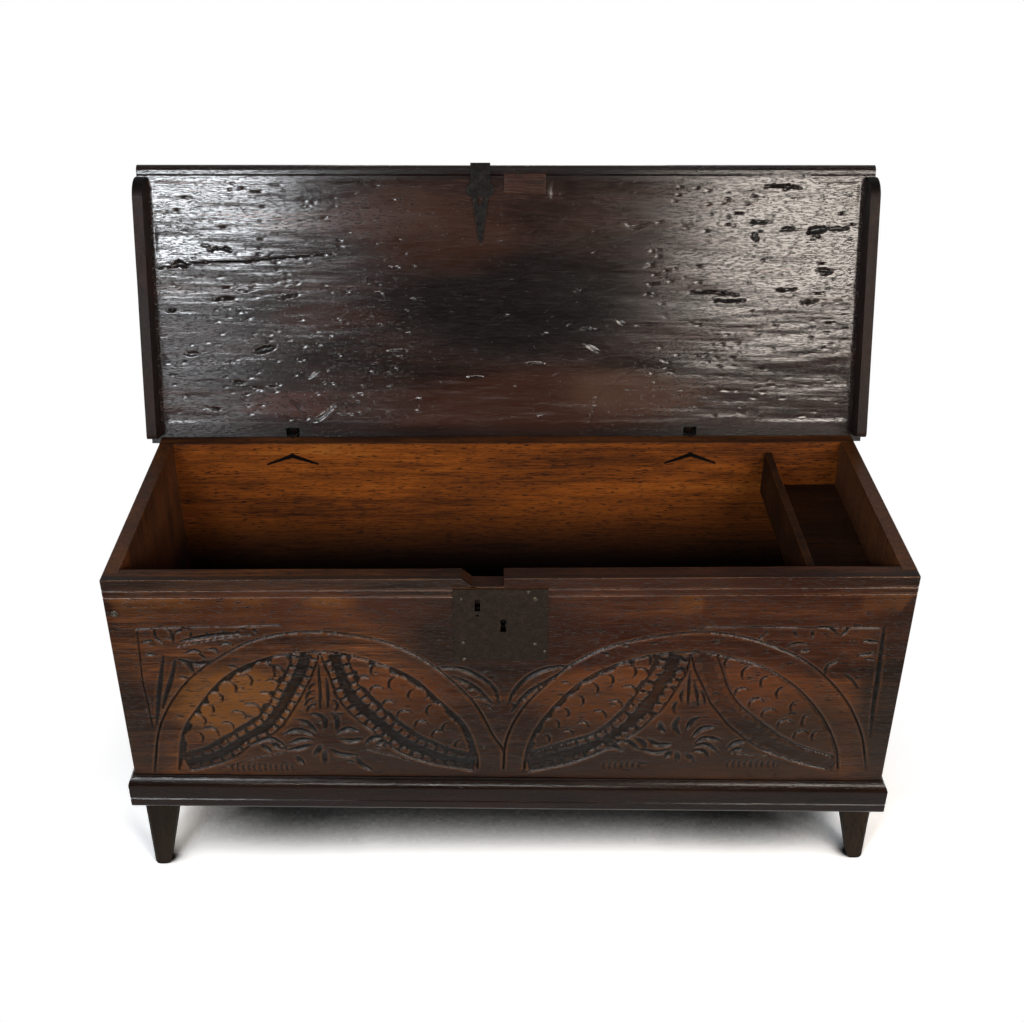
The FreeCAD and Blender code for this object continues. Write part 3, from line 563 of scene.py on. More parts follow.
def nearest_on(spots, lines, limit):
    """Each spot's distance to the nearest line within a limit, and the nearest point on it."""
    best = np.full(len(spots), limit)
    foot = spots.copy()
    for first, last in lines:
        first, last = np.array(first), np.array(last)
        run = last - first
        place = np.clip((spots - first) @ run / (run @ run), 0, 1)
        nearest = first + place[:, None] * run
        gap = np.linalg.norm(spots - nearest, axis=1)
        closer = gap < best
        best[closer] = gap[closer]
        foot[closer] = nearest[closer]
    return best, foot


half_up = nearest_on(np.array([[0.0, 0.0, 0.5]]), [((-1, 0, 0), (1, 0, 0))], limit=2.0)
print("from half a metre above a line:", half_up[0], "m, foot at", half_up[1])


# %% Wear
def wear(piece, width, seed, least=0.03, pitch=0.012, where=None):
    """Rounds the long convex arrises of a board by an uneven amount."""
    lines = pick_arrises(piece, least, where)
    alone(piece)
    bpy.ops.object.mode_set(mode="EDIT")
    bpy.ops.mesh.select_mode(type="EDGE")
    bpy.ops.mesh.bevel(offset=width, segments=3, profile=0.5, clamp_overlap=True)
    low, high = (np.array(corner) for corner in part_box(piece.name.removeprefix("worn_")))
    axis = int(np.argmax(high - low))
    for cut in np.arange(low[axis] + pitch, high[axis], pitch):
        bpy.ops.mesh.select_all(action="SELECT")
        place, normal = [0.0] * 3, [0.0] * 3
        place[axis], normal[axis] = cut, 1.0
        bpy.ops.mesh.bisect(plane_co=place, plane_no=normal)
    bpy.ops.object.mode_set(mode="OBJECT")
    spots = points_of(piece.data)
    gap, foot = nearest_on(spots, lines, width * 2.0)
    chips = np.clip(waves(foot, 0.05, seed + 1) - 0.75, 0, 1) * 2.0
    amount = np.clip(1.0 + 0.45 * waves(foot, 0.09, seed) + chips, 0.35, 2.3)
    spots = foot + (spots - foot) * amount[:, None]
    piece.data.vertices.foreach_set("co", spots.ravel())
    # The rounded arrises are marked for a lighter colour and a lower roughness: wear and a painted
    # highlight.
    on_bevel = (gap > width * 0.3) * (gap < width * 0.8)
    rub_and_highlight = on_bevel * np.clip(0.65 + 0.5 * waves(foot, 0.06, seed + 2), 0, 1)
    piece.data.attributes.new("worn", "FLOAT", "POINT").data.foreach_set("value", rub_and_highlight)
    piece.data.update()
    shade(piece, 32)
    print(piece.name, "arrises:", len(lines), "faces:", len(piece.data.polygons))


# %% [markdown]
# ## The carved front
# Two lunettes fill the front. A carver marks them with compasses, cuts the lines with a V-tool,
# sinks the ground between them with a flat gouge, and makes every leaf and scale with one stroke
# of a curved gouge. The front is made the same way. A fine grid stands in for the flat board,
# each stroke below is a path in millimetres across and up, and a stroke pushes the grid's points
# into the wood by its own profile. Sculpting by hand would also work, but a list of strokes can
# be corrected one by one.

# %% Strokes in millimetres: x and height, for the compass lines and the edges of the bands
LINES = {
    "left_outer": "-545 198 -523 293 -476 371 -411 425 -353 453 -282 462 -212 452 -161 432 -108 392 "
                  "-56 330 -28 267 -12 235 -12 196",
    "left_inner": "-507 201 -494 271 -471 314 -428 371 -389 400 -340 419 -281 425 -253 424 -199 406 "
                  "-147 378 -105 331 -68 284 -52 224 -52 199",
    "right_outer": "-12 196 -8 254 10 306 40 350 91 403 158 438 257 457 322 451 383 429 439 396 "
                   "495 335 530 267 549 193",
    "right_inner": "20 196 25 242 46 295 96 361 146 396 209 417 260 421 308 413 366 394 423 353 "
                   "468 297 496 238 505 191",
    "a_out": "-317 421 -331 381 -344 361 -359 329 -380 299 -397 285 -411 275 -431 261 -458 243 -497 228",
    "a_in": "-278 423 -291 385 -301 363 -316 333 -329 310 -346 284 -364 268 -380 259 -397 248 "
            "-411 234 -430 221 -455 211 -490 201",
    "b_in": "-278 423 -272 400 -266 378 -259 348 -250 326 -238 308 -222 289 -209 277 -192 256 "
            "-169 234 -147 222 -124 213 -95 206 -57 197",
    "b_out": "-240 419 -233 391 -229 371 -216 347 -202 328 -178 299 -164 283 -140 262 -115 247 "
             "-87 233 -54 224",
    "c_out": "217 415 209 392 198 369 185 343 173 317 155 293 139 275 119 262 93 253 70 244 27 229",
    "c_in": "260 419 257 386 248 363 238 341 224 313 208 294 194 276 177 261 153 245 124 226 "
            "83 209 23 194",
    "d_in": "260 419 269 388 279 366 288 346 298 324 316 299 330 280 356 255 375 240 393 230 "
            "444 208 499 191",
    "d_out": "298 417 308 390 318 360 328 340 346 315 373 290 393 272 417 254 448 236 498 218",
}
print("compass lines and band edges:", len(LINES))

# %% Thin lines, ribbons and single gouge cuts
RIBS = ("-539 468 -480 471 -416 472 -327 474", "-535 466 -536 433 -539 376 -537 337 -536 286",
        "274 467 356 466 438 464 533 463", "-484 436 -455 443 -421 450 -390 455 -369 458",
        "-340 237 -369 230 -397 224 -418 214 -441 207", "-222 242 -178 228 -150 217",
        "331 230 362 225 396 223")
RIBBONS = ("536 465 538 418 541 356 542 318 545 261",
           "-108 396 -81 396 -55 384 -36 369 -24 353 -19 330", "-90 381 -64 367 -47 352 -29 329",
           "87 397 59 395 33 384 15 368 1 346 -4 328", "73 386 50 368 28 351 12 333 1 314",
           "-503 420 -511 384 -519 348 -529 292", "-487 412 -495 384 -506 354 -517 323",
           "-476 446 -451 452 -420 457 -389 460", "-480 414 -469 405 -463 388",
           "-470 411 -455 405 -434 411")
CORNER_CUTS = """-510 468 -510 454 -500 443|-493 469 -486 460 -486 443|-470 468 -483 460
-459 462 -459 456 -456 452|-436 463 -436 457 -433 453|-412 465 -412 458 -409 456|-392 465 -392 460
-368 469 -368 463 -364 462|-529 445 -514 448|-529 423 -514 424|-471 425 -458 430 -448 426
-451 424 -446 418 -445 413|-438 431 -429 432 -424 425|-419 440 -408 443 -401 438|-484 382 -470 378
366 459 368 453|406 459 411 448|433 459 434 447|440 466 458 463 471 451|486 464 475 449
399 431 413 436 428 435|420 421 433 425|509 440 532 438|461 377 462 394 477 404|356 443 364 453
505 413 529 418|490 379 502 369 513 354|517 408 531 406|-83 378 -76 374|-66 358 -57 355
-50 342 -39 336|-38 328 -30 319|65 374 55 376|43 354 31 357|24 335 14 339|7 320 -1 330"""
LEAF_CUTS = """-281 403 -282 356 -284 319|-271 379 -271 343 -273 321|-289 368 -296 362 -300 353
-291 355 -300 349 -304 338|-290 342 -301 336 -306 327|-289 330 -300 324 -304 315
-265 368 -261 360 -260 353|-264 354 -259 345 -259 336|-264 339 -258 328 -261 317
261 386 262 352 263 324|269 367 275 344 278 322|254 352 251 339 254 328|280 352 286 339 288 325
246 330 242 318 245 307|297 341 303 345 310 339|302 327 311 327"""
ROSETTE_CUTS = """-297 312 -285 307 -278 296 -280 282|-266 313 -260 298 -262 280
-317 300 -304 292 -292 275|-340 273 -325 280 -311 278 -298 271|-333 255 -318 261 -300 261
-338 241 -320 245 -301 252|-299 231 -292 241 -288 250|-284 215 -283 238|-273 243 -259 232 -235 230
-258 262 -243 258 -225 262|-262 273 -246 282 -230 278|-236 225 -228 211 -213 200
-327 228 -316 213|-395 250 -376 261 -359 263 -341 248|-378 252 -371 246 -364 238
-361 255 -350 244|-220 252 -210 263 -195 264|-204 251 -192 256 -190 246
223 291 226 278 232 270|251 300 246 283 254 266|265 277 271 291 281 299
275 262 287 277 305 281|280 250 295 259 318 254|280 243 296 246 315 232|278 235 294 232 301 222
267 228 280 214|253 232 255 214|245 233 236 222|243 248 223 246 208 258|197 238 222 231 241 237
189 260 200 250 205 240|330 239 340 249 355 252|335 233 352 238|135 252 147 254 162 245
144 239 156 243 169 235|168 253 180 251 193 237"""
print("ribs and ribbons:", len(RIBS) + len(RIBBONS))

# %% Scales: centre x, centre height and radius, along each side of the four leafy fields
SCALES = {
    "a_rim": "-335 407 14 -362 390 17 -394 374 14 -417 359 13 -437 341 11 -451 320 10 -468 299 12 "
             "-477 266 14",
    "a_band": "-345 390 12 -352 365 11 -365 342 11 -387 318 14 -408 304 13 -426 285 11 -453 273 14",
    "b_rim": "-223 405 15 -192 390 14 -166 365 15 -139 344 14 -113 314 14 -90 280 14 -75 249 10",
    "b_band": "-216 371 10 -198 352 11 -182 326 10 -159 305 12 -134 286 11 -110 267 10",
    "c_rim": "191 405 12 166 385 16 137 370 13 114 353 14 94 331 13 74 308 12 60 287 12 46 258 12",
    "c_band": "188 381 12 171 348 13 151 320 14 129 301 13 105 282 11 83 267 10",
    "d_rim": "323 400 12 353 381 15 381 364 14 407 343 14 431 317 14 451 291 14 470 260 14",
    "d_band": "342 344 11 366 323 12 387 303 12 413 282 12 440 260 12",
}
SWEEP = {"a_rim": (-40, 70), "c_rim": (-40, 70), "a_band": (-10, 125), "c_band": (-10, 125),
         "b_rim": (110, 220), "d_rim": (110, 220), "b_band": (30, 200), "d_band": (30, 200)}
print("scales:", sum(len(row.split()) // 3 for row in SCALES.values()))


# %% Paths
def curve(text, step=0.006):
    """A smooth curve through listed points, as short even runs."""
    marks = np.array(text.split(), float).reshape(-1, 2) * MM
    ends = np.vstack([2 * marks[0] - marks[1], marks, 2 * marks[-1] - marks[-2]])
    spots = []
    for a, b, c, d in zip(ends, ends[1:], ends[2:], ends[3:]):
        for t in np.linspace(0, 1, max(2, int(np.linalg.norm(c - b) / step) + 1), endpoint=False):
            spots.append(0.5 * (2 * b + (c - a) * t + (2 * a - 5 * b + 4 * c - d) * t * t
                                + (3 * b - a - 3 * c + d) * t ** 3))
    return np.array(spots + [marks[-1]])


def beside(spots, path, reach):
    """The spots near a path: their indices, distance, side and place along it, and its length."""
    near = np.flatnonzero(((spots > path.min(0) - reach) & (spots < path.max(0) + reach)).all(1))
    here = spots[near]
    best = np.full(len(near), 1.0)
    side = np.zeros(len(near))
    place = np.zeros(len(near))
    start = 0.0
    for first, last in zip(path, path[1:]):
        run = last - first
        long = np.linalg.norm(run)
        t = np.clip((here - first) @ run / long ** 2, 0, 1)
        gap = here - first - t[:, None] * run
        far = np.hypot(gap[:, 0], gap[:, 1])
        closer = far < best
        best[closer] = far[closer]
        side[closer] = np.sign(run[0] * gap[closer, 1] - run[1] * gap[closer, 0])
        place[closer] = start + t[closer] * long
        start += long
    keep = best < reach
    return near[keep], best[keep], side[keep], place[keep], start


def soft(value, low, high):
    """0 below low, 1 above high, and smooth between them."""
    t = np.clip((value - low) / (high - low), 0, 1)
    return t * t * (3 - 2 * t)


def within(spots, outline):
    """True for spots inside a closed outline."""
    inside = np.zeros(len(spots), bool)
    x, z = spots.T
    for (xa, za), (xb, zb) in zip(outline, np.roll(outline, -1, axis=0)):
        if za != zb:
            inside ^= ((za > z) != (zb > z)) & (x < (xb - xa) * (z - za) / (zb - za) + xa)
    return inside


PATHS = {name: curve(text) for name, text in LINES.items()}
PATHS.update({"rib%d" % i: curve(text) for i, text in enumerate(RIBS)})
print("points along the left outer line:", len(PATHS["left_outer"]))

# %% Cutting tools: each cut has a width and a depth in millimetres
LINE_CUT, RIB_CUT, RIBBON_CUT, SCALE_CUT = (5.0, 3.0), (3.2, 1.7), (8.5, 2.8), (4.6, 2.4)
CORNER_CUT, LEAF_CUT, ROSETTE_CUT, HATCH_CUT = (5.5, 2.3), (5.5, 2.6), (9.5, 3.3), (3.6, 1.6)


def v_cut(spots, depth, path, width, deep):
    """A line cut with a V-tool."""
    near, far, _, place, length = beside(spots, path, width)
    ends = soft(np.minimum(place, length - place), -0.001, 0.004)
    cut = deep * MM * ends * np.clip(1 - far / (width * MM / 2), 0, 1)
    depth[near] = np.maximum(depth[near], cut)


def gouge(spots, depth, path, width, deep):
    """One stroke of a curved gouge, which dips in, widens and comes out again."""
    near, far, _, place, length = beside(spots, path, 0.012)
    swell = np.sqrt(np.clip(np.sin(math.pi * np.clip(place / length, 0.03, 0.97)), 0, 1))
    half = width * MM / 2 * (0.25 + 0.75 * swell)
    cut = deep * MM * (0.3 + 0.7 * swell) * np.sqrt(np.clip(1 - (far / half) ** 2, 0, 1))
    depth[near] = np.maximum(depth[near], cut)


print("compass lines: %g mm wide, %g mm deep" % LINE_CUT)

# %% Sinking the ground of a leafy field
GROUND_DEEP, BAND_DEEP = 0.0026, 0.003
RIM_GROUND, BAND_GROUND = 0.0095, 0.0080   # how far the sunk ground reaches from each edge
SUNK = {"a": 1.0, "b": 1.0, "c": 0.85, "d": 0.45}
STANDING = {"a": 1.0, "b": 0.95, "c": 0.8, "d": 0.5}
RAGGED = {"a": 0.15, "b": 0.2, "c": 0.75, "d": 0.9}


def sink_field(spots, depth, rim_name, start, stop, field):
    """Sinks the ground along the rim and the band of one field, round its scales."""
    rim = curve(" ".join(LINES[rim_name].split()[start:stop]))
    band = curve(LINES[field + "_out"])
    turned = np.linalg.norm(rim[-1] - band[-1]) < np.linalg.norm(rim[-1] - band[0])
    outline = np.vstack([rim, band[::-1] if turned else band])
    inside = within(spots, outline)
    ground = np.zeros(len(spots))
    for path, widest in ((rim, RIM_GROUND), (band, BAND_GROUND)):
        reach = widest * SUNK[field] ** 0.6
        near, far, *_ = beside(spots, path, 0.012)
        ground[near] = np.maximum(ground[near], 1 - soft(far, reach - 0.0012, reach))
    for row in (field + "_rim", field + "_band"):
        for x, z, r in np.array(SCALES[row].split(), float).reshape(-1, 3) * MM:
            ground *= soft(np.hypot(spots[:, 0] - x, spots[:, 1] - z), r - 0.0006, r + 0.0006)
    depth[inside] = np.maximum(depth[inside], GROUND_DEEP * SUNK[field] * ground[inside])
    for row in (field + "_rim", field + "_band"):
        for x, z, r in np.array(SCALES[row].split(), float).reshape(-1, 3):
            turn = np.radians(np.linspace(*SWEEP[row], 7))
            arc = np.column_stack([x + r * np.cos(turn), z + r * np.sin(turn)]) * MM
            gouge(spots, depth, arc, *SCALE_CUT)


# %% Sinking a band
LADDER_STEP = 0.0172                  # from one pair of islands to the next


def sink_band(spots, depth, field):
    """Sinks one band and leaves its ladder of paired islands standing."""
    edges = []
    for name in (field + "_out", field + "_in"):
        path = curve(LINES[name])
        runs = np.concatenate([[0], np.cumsum(np.linalg.norm(np.diff(path, axis=0), axis=1))])
        even = np.linspace(0, runs[-1], 60)
        edges.append(np.column_stack([np.interp(even, runs, path[:, k]) for k in (0, 1)]))
    middle = (edges[0] + edges[1]) / 2
    halves = np.linalg.norm(edges[0] - edges[1], axis=1) / 2
    near, far, side, place, length = beside(spots, middle, 0.026)
    t = place / length
    across = far / np.interp(t, np.linspace(0, 1, 60), halves)
    ground = (1 - soft(across, 0.86, 0.97)) * (place > 1e-6) * (place < length - 1e-6)
    beat = np.cos(2 * math.pi * place / LADDER_STEP + 0.9 * side)
    beat = beat + RAGGED[field] * waves(spots[near], 0.011, 40)
    across = across + 0.12 * RAGGED[field] * waves(spots[near], 0.008, 41)
    island = soft(across, 0.40, 0.50) * (1 - soft(across, 0.84, 0.93)) * soft(beat, -0.75, -0.35)
    island *= STANDING[field] * (1 - 0.75 * soft(t, 0.55, 1.0))
    depth[near] = np.maximum(depth[near], BAND_DEEP * SUNK[field] * ground * (1 - island))


print("ground:", GROUND_DEEP / MM, "mm deep, bands:", BAND_DEEP / MM, "mm deep")

# %% The relief as a grid
CELL = 0.00195
LEFT, RIGHT, FOOT, TOP = -0.552, 0.552, 0.188, 0.484
front_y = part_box("front_board")[0].y
columns, rows = round((RIGHT - LEFT) / CELL), round((TOP - FOOT) / CELL)
bpy.ops.object.select_all(action="DESELECT")
bpy.ops.mesh.primitive_grid_add(x_subdivisions=columns, y_subdivisions=rows, size=1,
                                location=((LEFT + RIGHT) / 2, front_y, (FOOT + TOP) / 2),
                                rotation=(math.pi / 2, 0, 0))
relief = bpy.context.object
relief.scale = (RIGHT - LEFT, TOP - FOOT, 1)
bpy.ops.object.transform_apply(location=True, rotation=True, scale=True)
grid = points_of(relief.data)
spots = grid[:, [0, 2]].copy()
print("relief grid:", columns, "by", rows, "cells,", len(spots), "points")

# %% Cut every stroke
for path in PATHS.values():
    near, _, _, place, _ = beside(spots, path, CELL * 0.49)
    runs = np.concatenate([[0], np.cumsum(np.linalg.norm(np.diff(path, axis=0), axis=1))])
    spots[near] = np.column_stack([np.interp(place, runs, path[:, k]) for k in (0, 1)])
depth = np.zeros(len(spots))
for field, rim_name, start in (("a", "left_inner", 0), ("b", "left_inner", 14),
                               ("c", "right_inner", 0), ("d", "right_inner", 14)):
    sink_field(spots, depth, rim_name, start, start + 14, field)
for field in SUNK:
    sink_band(spots, depth, field)
for name, path in PATHS.items():
    v_cut(spots, depth, path, *(RIB_CUT if name.startswith("rib") else LINE_CUT))
for text in RIBBONS:
    gouge(spots, depth, curve(text), *RIBBON_CUT)
for block, size in ((CORNER_CUTS, CORNER_CUT), (LEAF_CUTS, LEAF_CUT), (ROSETTE_CUTS, ROSETTE_CUT)):
    for text in block.replace("\n", "|").split("|"):
        gouge(spots, depth, curve(text, 0.003), *size)
for first, last, step in ((-425, -334, 8.3), (142, 198, 9.0), (332, 407, 9.0)):
    for x in np.arange(first, last + 1, step):
        gouge(spots, depth, curve("%g 215 %g 208 %g 200" % (x + 1.5, x - 1, x + 1)), *HATCH_CUT)
print("deepest cut:", round(depth.max() / MM, 2), "mm")


# %% A local mean
def blurred(values, shape, size):
    """The mean of each grid point's neighbours, by running sums along both directions."""
    field = values.reshape(shape)
    for axis in (0, 1):
        padding = [(size, size) if k == axis else (0, 0) for k in (0, 1)]
        total = np.cumsum(np.pad(field, padding, mode="edge"), axis=axis)
        total = np.insert(total, 0, 0, axis=axis)
        width = 2 * size + 1
        upper = np.take(total, range(width, total.shape[axis]), axis=axis)
        lower = np.take(total, range(0, total.shape[axis] - width), axis=axis)
        field = (upper - lower) / width
    return field.ravel()


print("mean of 1 to 9 at the middle:", blurred(np.arange(1.0, 10.0), (3, 3), 1)[4])

# %% Push the grid in
BORDER_FADE, PLATE_FADE = (0.0, 0.012), (0.008, 0.016)
RIPPLE, PIT = 0.00016, 0.0012
plate_low, plate_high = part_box("lock_plate")
across, up = grid[:, 0], grid[:, 2]
border = np.minimum.reduce([across - LEFT, RIGHT - across, up - FOOT, TOP - up])
flat = np.maximum.reduce([plate_low.x - across, across - plate_high.x, plate_low.z - up])
calm = soft(border, *BORDER_FADE) * soft(flat, *PLATE_FADE)
ripple = RIPPLE * (1 + waves(np.column_stack([across / 5, up]), 0.014, 5))
pits = PIT * soft(waves(np.column_stack([across / 2.2, up]), 0.008, 8), 1.35, 1.8)
depth = (depth + np.clip(ripple, 0, None) + pits * (depth < 0.0005)) * calm
# Cuts darken by their depth and where they sink below their neighbours: grime and painted shade in the
# recesses. The surface just beside a cut is marked lighter: wear and a painted highlight.
cavity = depth - blurred(depth, (rows + 1, columns + 1), 2)
dirt = np.clip(0.27 * depth / MM + 0.9 * np.clip(cavity, 0, None) / MM, 0, 0.95)
worn = np.clip(-0.8 * cavity / MM - 0.12, 0, 0.5)
carved = np.column_stack([spots[:, 0], front_y + depth, spots[:, 1]])
relief.data.vertices.foreach_set("co", carved.ravel())
for name, values in (("dirt", dirt), ("worn", worn)):
    relief.data.attributes.new(name, "FLOAT", "POINT").data.foreach_set("value", values)
relief.data.materials.append(finish["front"])
print("dirt mean", round(float(dirt.mean()), 3), "worn mean", round(float(worn.mean()), 3))


# %% Joining a worked grid to its board
def delete_faces(piece, chosen):
    """Deletes the faces of a piece that a test on centre and normal picks."""
    alone(piece)
    bpy.ops.object.mode_set(mode="EDIT")
    bpy.ops.mesh.select_mode(type="FACE")
    bpy.ops.mesh.select_all(action="DESELECT")
    bpy.ops.object.mode_set(mode="OBJECT")
    count = 0
    for face in piece.data.polygons:
        face.select = bool(chosen(face.center, face.normal))
        count += face.select
    bpy.ops.object.mode_set(mode="EDIT")
    bpy.ops.mesh.delete(type="FACE")
    bpy.ops.object.mode_set(mode="OBJECT")
    print(piece.name, "lost", count, "faces")


def close_gap(piece, patch):
    """Joins a worked grid to the board it belongs to and fills the flat rim between them."""
    alone(piece)
    bpy.ops.mesh.customdata_custom_splitnormals_clear()
    patch.select_set(True)
    bpy.ops.object.join()
    bpy.ops.object.mode_set(mode="EDIT")
    bpy.ops.mesh.select_mode(type="EDGE")
    for step in ("fill", "count"):
        bpy.ops.mesh.select_all(action="DESELECT")
        bpy.ops.mesh.select_non_manifold(extend=False, use_wire=False, use_boundary=True,
                                         use_multi_face=False, use_non_contiguous=False, use_verts=False)
        if step == "fill":
            bpy.ops.mesh.fill(use_beauty=True)
    bpy.ops.object.mode_set(mode="OBJECT")
    open_edges = sum(edge.select for edge in piece.data.edges)
    shade(piece, 40)
    piece.data.calc_loop_triangles()
    print(piece.name, "open edges:", open_edges, "triangles:", len(piece.data.loop_triangles))


print("the relief has", len(relief.data.polygons), "faces to join")

# %% Join the relief to the board
RIM, CORNER, SCRATCHED = 0.551, 0.574, 0.5205   # heights of the rim and the scratches, and half a width
PLATE_EDGE = 0.006


def rubbed_edge(a, b):
    """True for edges of the rim, the corners and the scratched mouldings."""
    level = abs(a.z - b.z) < 0.001 and max(a.y, b.y) < front_y + 0.0002
    return min(a.z, b.z) > RIM or min(abs(a.x), abs(b.x)) > CORNER or (a.z > SCRATCHED and level)


front = start_from("front_board", "case", "front")
wear(front, 0.0011, 21, where=rubbed_edge)
front.data.attributes.new("dirt", "FLOAT", "POINT")
plate_from, plate_to = plate_low.x - PLATE_EDGE, plate_high.x + PLATE_EDGE
delete_faces(relief, lambda c, n: plate_from < c.x < plate_to and c.z > plate_low.z - PLATE_EDGE)
delete_faces(front, lambda c, n: n.y < -0.99 and c.y < front_y + 0.0002 and c.z < SCRATCHED)
close_gap(front, relief)

# %% [markdown]
# ## The underside of the lid
# The lid leans open and shows its underside: a wide board, waxed nearly black, eaten by worms and
# split along the grain. Worm tracks and pits are short and lie with the grain, so most of them are
# scattered by chance with a fixed seed, thickly near the ends and thinly in the middle. The few
# that the eye picks out are listed, each with its width and depth after the @. The work is
# done with the lid laid shut, where its underside is level, and the finished mesh is turned back
# to where the imported lid stands.

# %% Lay the lid shut
hinge = next(joint for joint in frame["joints"] if joint["name"] == "lid_hinge")
HINGE, TURN = hinge["pos_m"], math.radians(hinge["range_deg"][1])


def laid_shut(spots, back=False):
    """Turns points from the open lid to the shut one, or back again."""
    turn = Matrix.Rotation(-TURN if back else TURN, 3, "X")
    return (spots - HINGE) @ np.array(turn).T + HINGE


def turn_piece(piece, back=False):
    """Turns a piece's own mesh about the hinge."""
    piece.data.vertices.foreach_set("co", laid_shut(points_of(piece.data), back).ravel())
    piece.data.update()


lid = start_from("lid_board", "lid", "lid")
wear(lid, 0.0016, 61, least=0.1, pitch=0.02)
turn_piece(lid)
lid_spots = points_of(lid.data)
print("shut lid from", lid_spots.min(0).round(4), "to", lid_spots.max(0).round(4))

# %% Marks in the underside: x and distance up from the hinge, in millimetres
DEEP_MARKS = """-568 274 -547 277 -513 283 -482 285 -424 286 -398 289 -323 295 -280 298 @2.4 2.6
-541 279 -530 283 -521 278 @11 5|-482 304 -462 308 -447 302 @5 3|-479 224 -466 226 -446 227 @5 2.5
-373 227 -342 233 @5 2.5|-414 140 -399 144 -385 148 @11 4|-554 206 -543 209 @6 3
-529 136 -510 137 @8 1.5|-453 90 -435 89 @5 2|-492 46 -477 45 @5 2|489 333 503 336 516 338 @12 4.5
415 404 444 405 472 401 @6 3|396 348 419 349 @6 3|445 336 462 338 @6 2.5|397 331 404 319 @6 2.5
507 272 529 269 @6 2.5|298 235 342 235 375 231 @5 2.5|338 222 388 222 @5 2.2|440 239 471 241 @5 2.2
481 218 509 222 @5 2.2|518 338 551 338 @6 2.8|-363 62 -351 52 -334 27 @4 1.2
-339 16 -310 31 -287 52 @5 1.4|-342 107 -330 98 -314 107 @4 1.2|191 346 206 340 227 346 @4 1
121 177 148 174 @4 1.2|128 152 153 137 @4 1.2|180 191 194 183 @4 1|209 183 255 183 @4 1
-70 96 -40 97 @4 1.2|-200 140 -165 141 @4 1.4|30 120 62 118 @4 1.2|134 12 149 66 171 84 @2.6 0.7
171 84 200 106 243 130 @2.6 0.7"""
MARKS = 420
scatter = np.random.default_rng(1650)
marks = [(curve(path), *map(float, size.split())) for path, size in
         (item.split("@") for item in DEEP_MARKS.replace("\n", "|").split("|"))]
while len(marks) < MARKS:
    x, up = scatter.uniform(-562, 562), scatter.uniform(24, 410)
    if scatter.random() < (0.12 if abs(x - 40) < 190 else 0.95):
        long = scatter.uniform(2.0, 4.5) * (2.4 if scatter.random() < 0.14 else 1)
        tilt = scatter.normal(0, 0.10) * long
        bow = up + scatter.normal(0, 1)
        path = curve("%g %g %g %g %g %g" % (x - long, up - tilt, x, bow, x + long, up + tilt))
        marks.append((path, scatter.uniform(1.8, 2.8), scatter.uniform(0.4, 1.4)))
print("marks in the lid:", len(marks))

# %% The underside as a grid
LID_HALF, LID_NEAR, LID_FAR = 0.57, 0.020, 0.414   # half the width, and distances from the hinge
PATCH_LEFT, PATCH_RIGHT, PATCH_NEAR = -0.010, 0.066, 0.388
OLD_PLATE = ((-0.012, 0.041), (0.316, 0.388))      # the shadow of a hasp plate that is gone
HOLLOW, RIDGE, PLATE_DENT = 0.0003, 0.00010, 0.00015
lid_columns, lid_rows = 392, 221
bpy.ops.object.select_all(action="DESELECT")
bpy.ops.mesh.primitive_grid_add(x_subdivisions=lid_columns, y_subdivisions=lid_rows, size=1,
                                location=(0, HINGE[1] - (LID_NEAR + LID_FAR) / 2, HINGE[2]),
                                rotation=(math.pi, 0, 0))
scarred = bpy.context.object
scarred.scale = (2 * LID_HALF, LID_FAR - LID_NEAR, 1)
bpy.ops.object.transform_apply(location=True, rotation=True, scale=True)
grid = points_of(scarred.data)
spots = np.column_stack([grid[:, 0], HINGE[1] - grid[:, 1]])
across, up = spots.T
cuts = np.zeros(len(spots))
for path, width, deep in marks:
    gouge(spots, cuts, path, width, deep)
hollows = HOLLOW * (1 + waves(np.column_stack([across / 6, up]), 0.035, 31))
ridges = RIDGE * (1 + waves(np.column_stack([across / 12, up]), 0.006, 32))
ghost = 1.0
for place, (low, high) in zip((across, up), OLD_PLATE):
    ghost = ghost * soft(place, low, low + 0.003) * (1 - soft(place, high - 0.003, high))
edge = np.minimum.reduce([across + LID_HALF, LID_HALF - across, up - LID_NEAR, LID_FAR - up])
beside_patch = np.maximum.reduce([PATCH_LEFT - across, across - PATCH_RIGHT, PATCH_NEAR - up])
calm = soft(edge, 0.0, 0.008) * soft(beside_patch, 0.0, 0.006)
grid[:, 2] += (cuts + np.clip(hollows, 0, None) + np.clip(ridges, 0, None) + PLATE_DENT * ghost) * calm
scarred.data.vertices.foreach_set("co", grid.ravel())
# Pits and worm tracks darken by their depth: grime and painted shade.
dirt = np.clip(0.6 * cuts / MM, 0, 0.95)
for name, values in (("dirt", dirt), ("worn", 0 * dirt)):
    scarred.data.attributes.new(name, "FLOAT", "POINT").data.foreach_set("value", values)
scarred.data.materials.append(finish["lid"])
print("underside grid:", lid_columns, "by", lid_rows, "cells, dirt mean", round(float(dirt.mean()), 3))

# %% Join the underside to the lid
NOSE, HINGE_STRIP, OUTER = 0.4145, 0.016, 0.020   # two distances from the hinge, one height above it
up = HINGE[1] - lid_spots[:, 1]
above = lid_spots[:, 2] - HINGE[2]
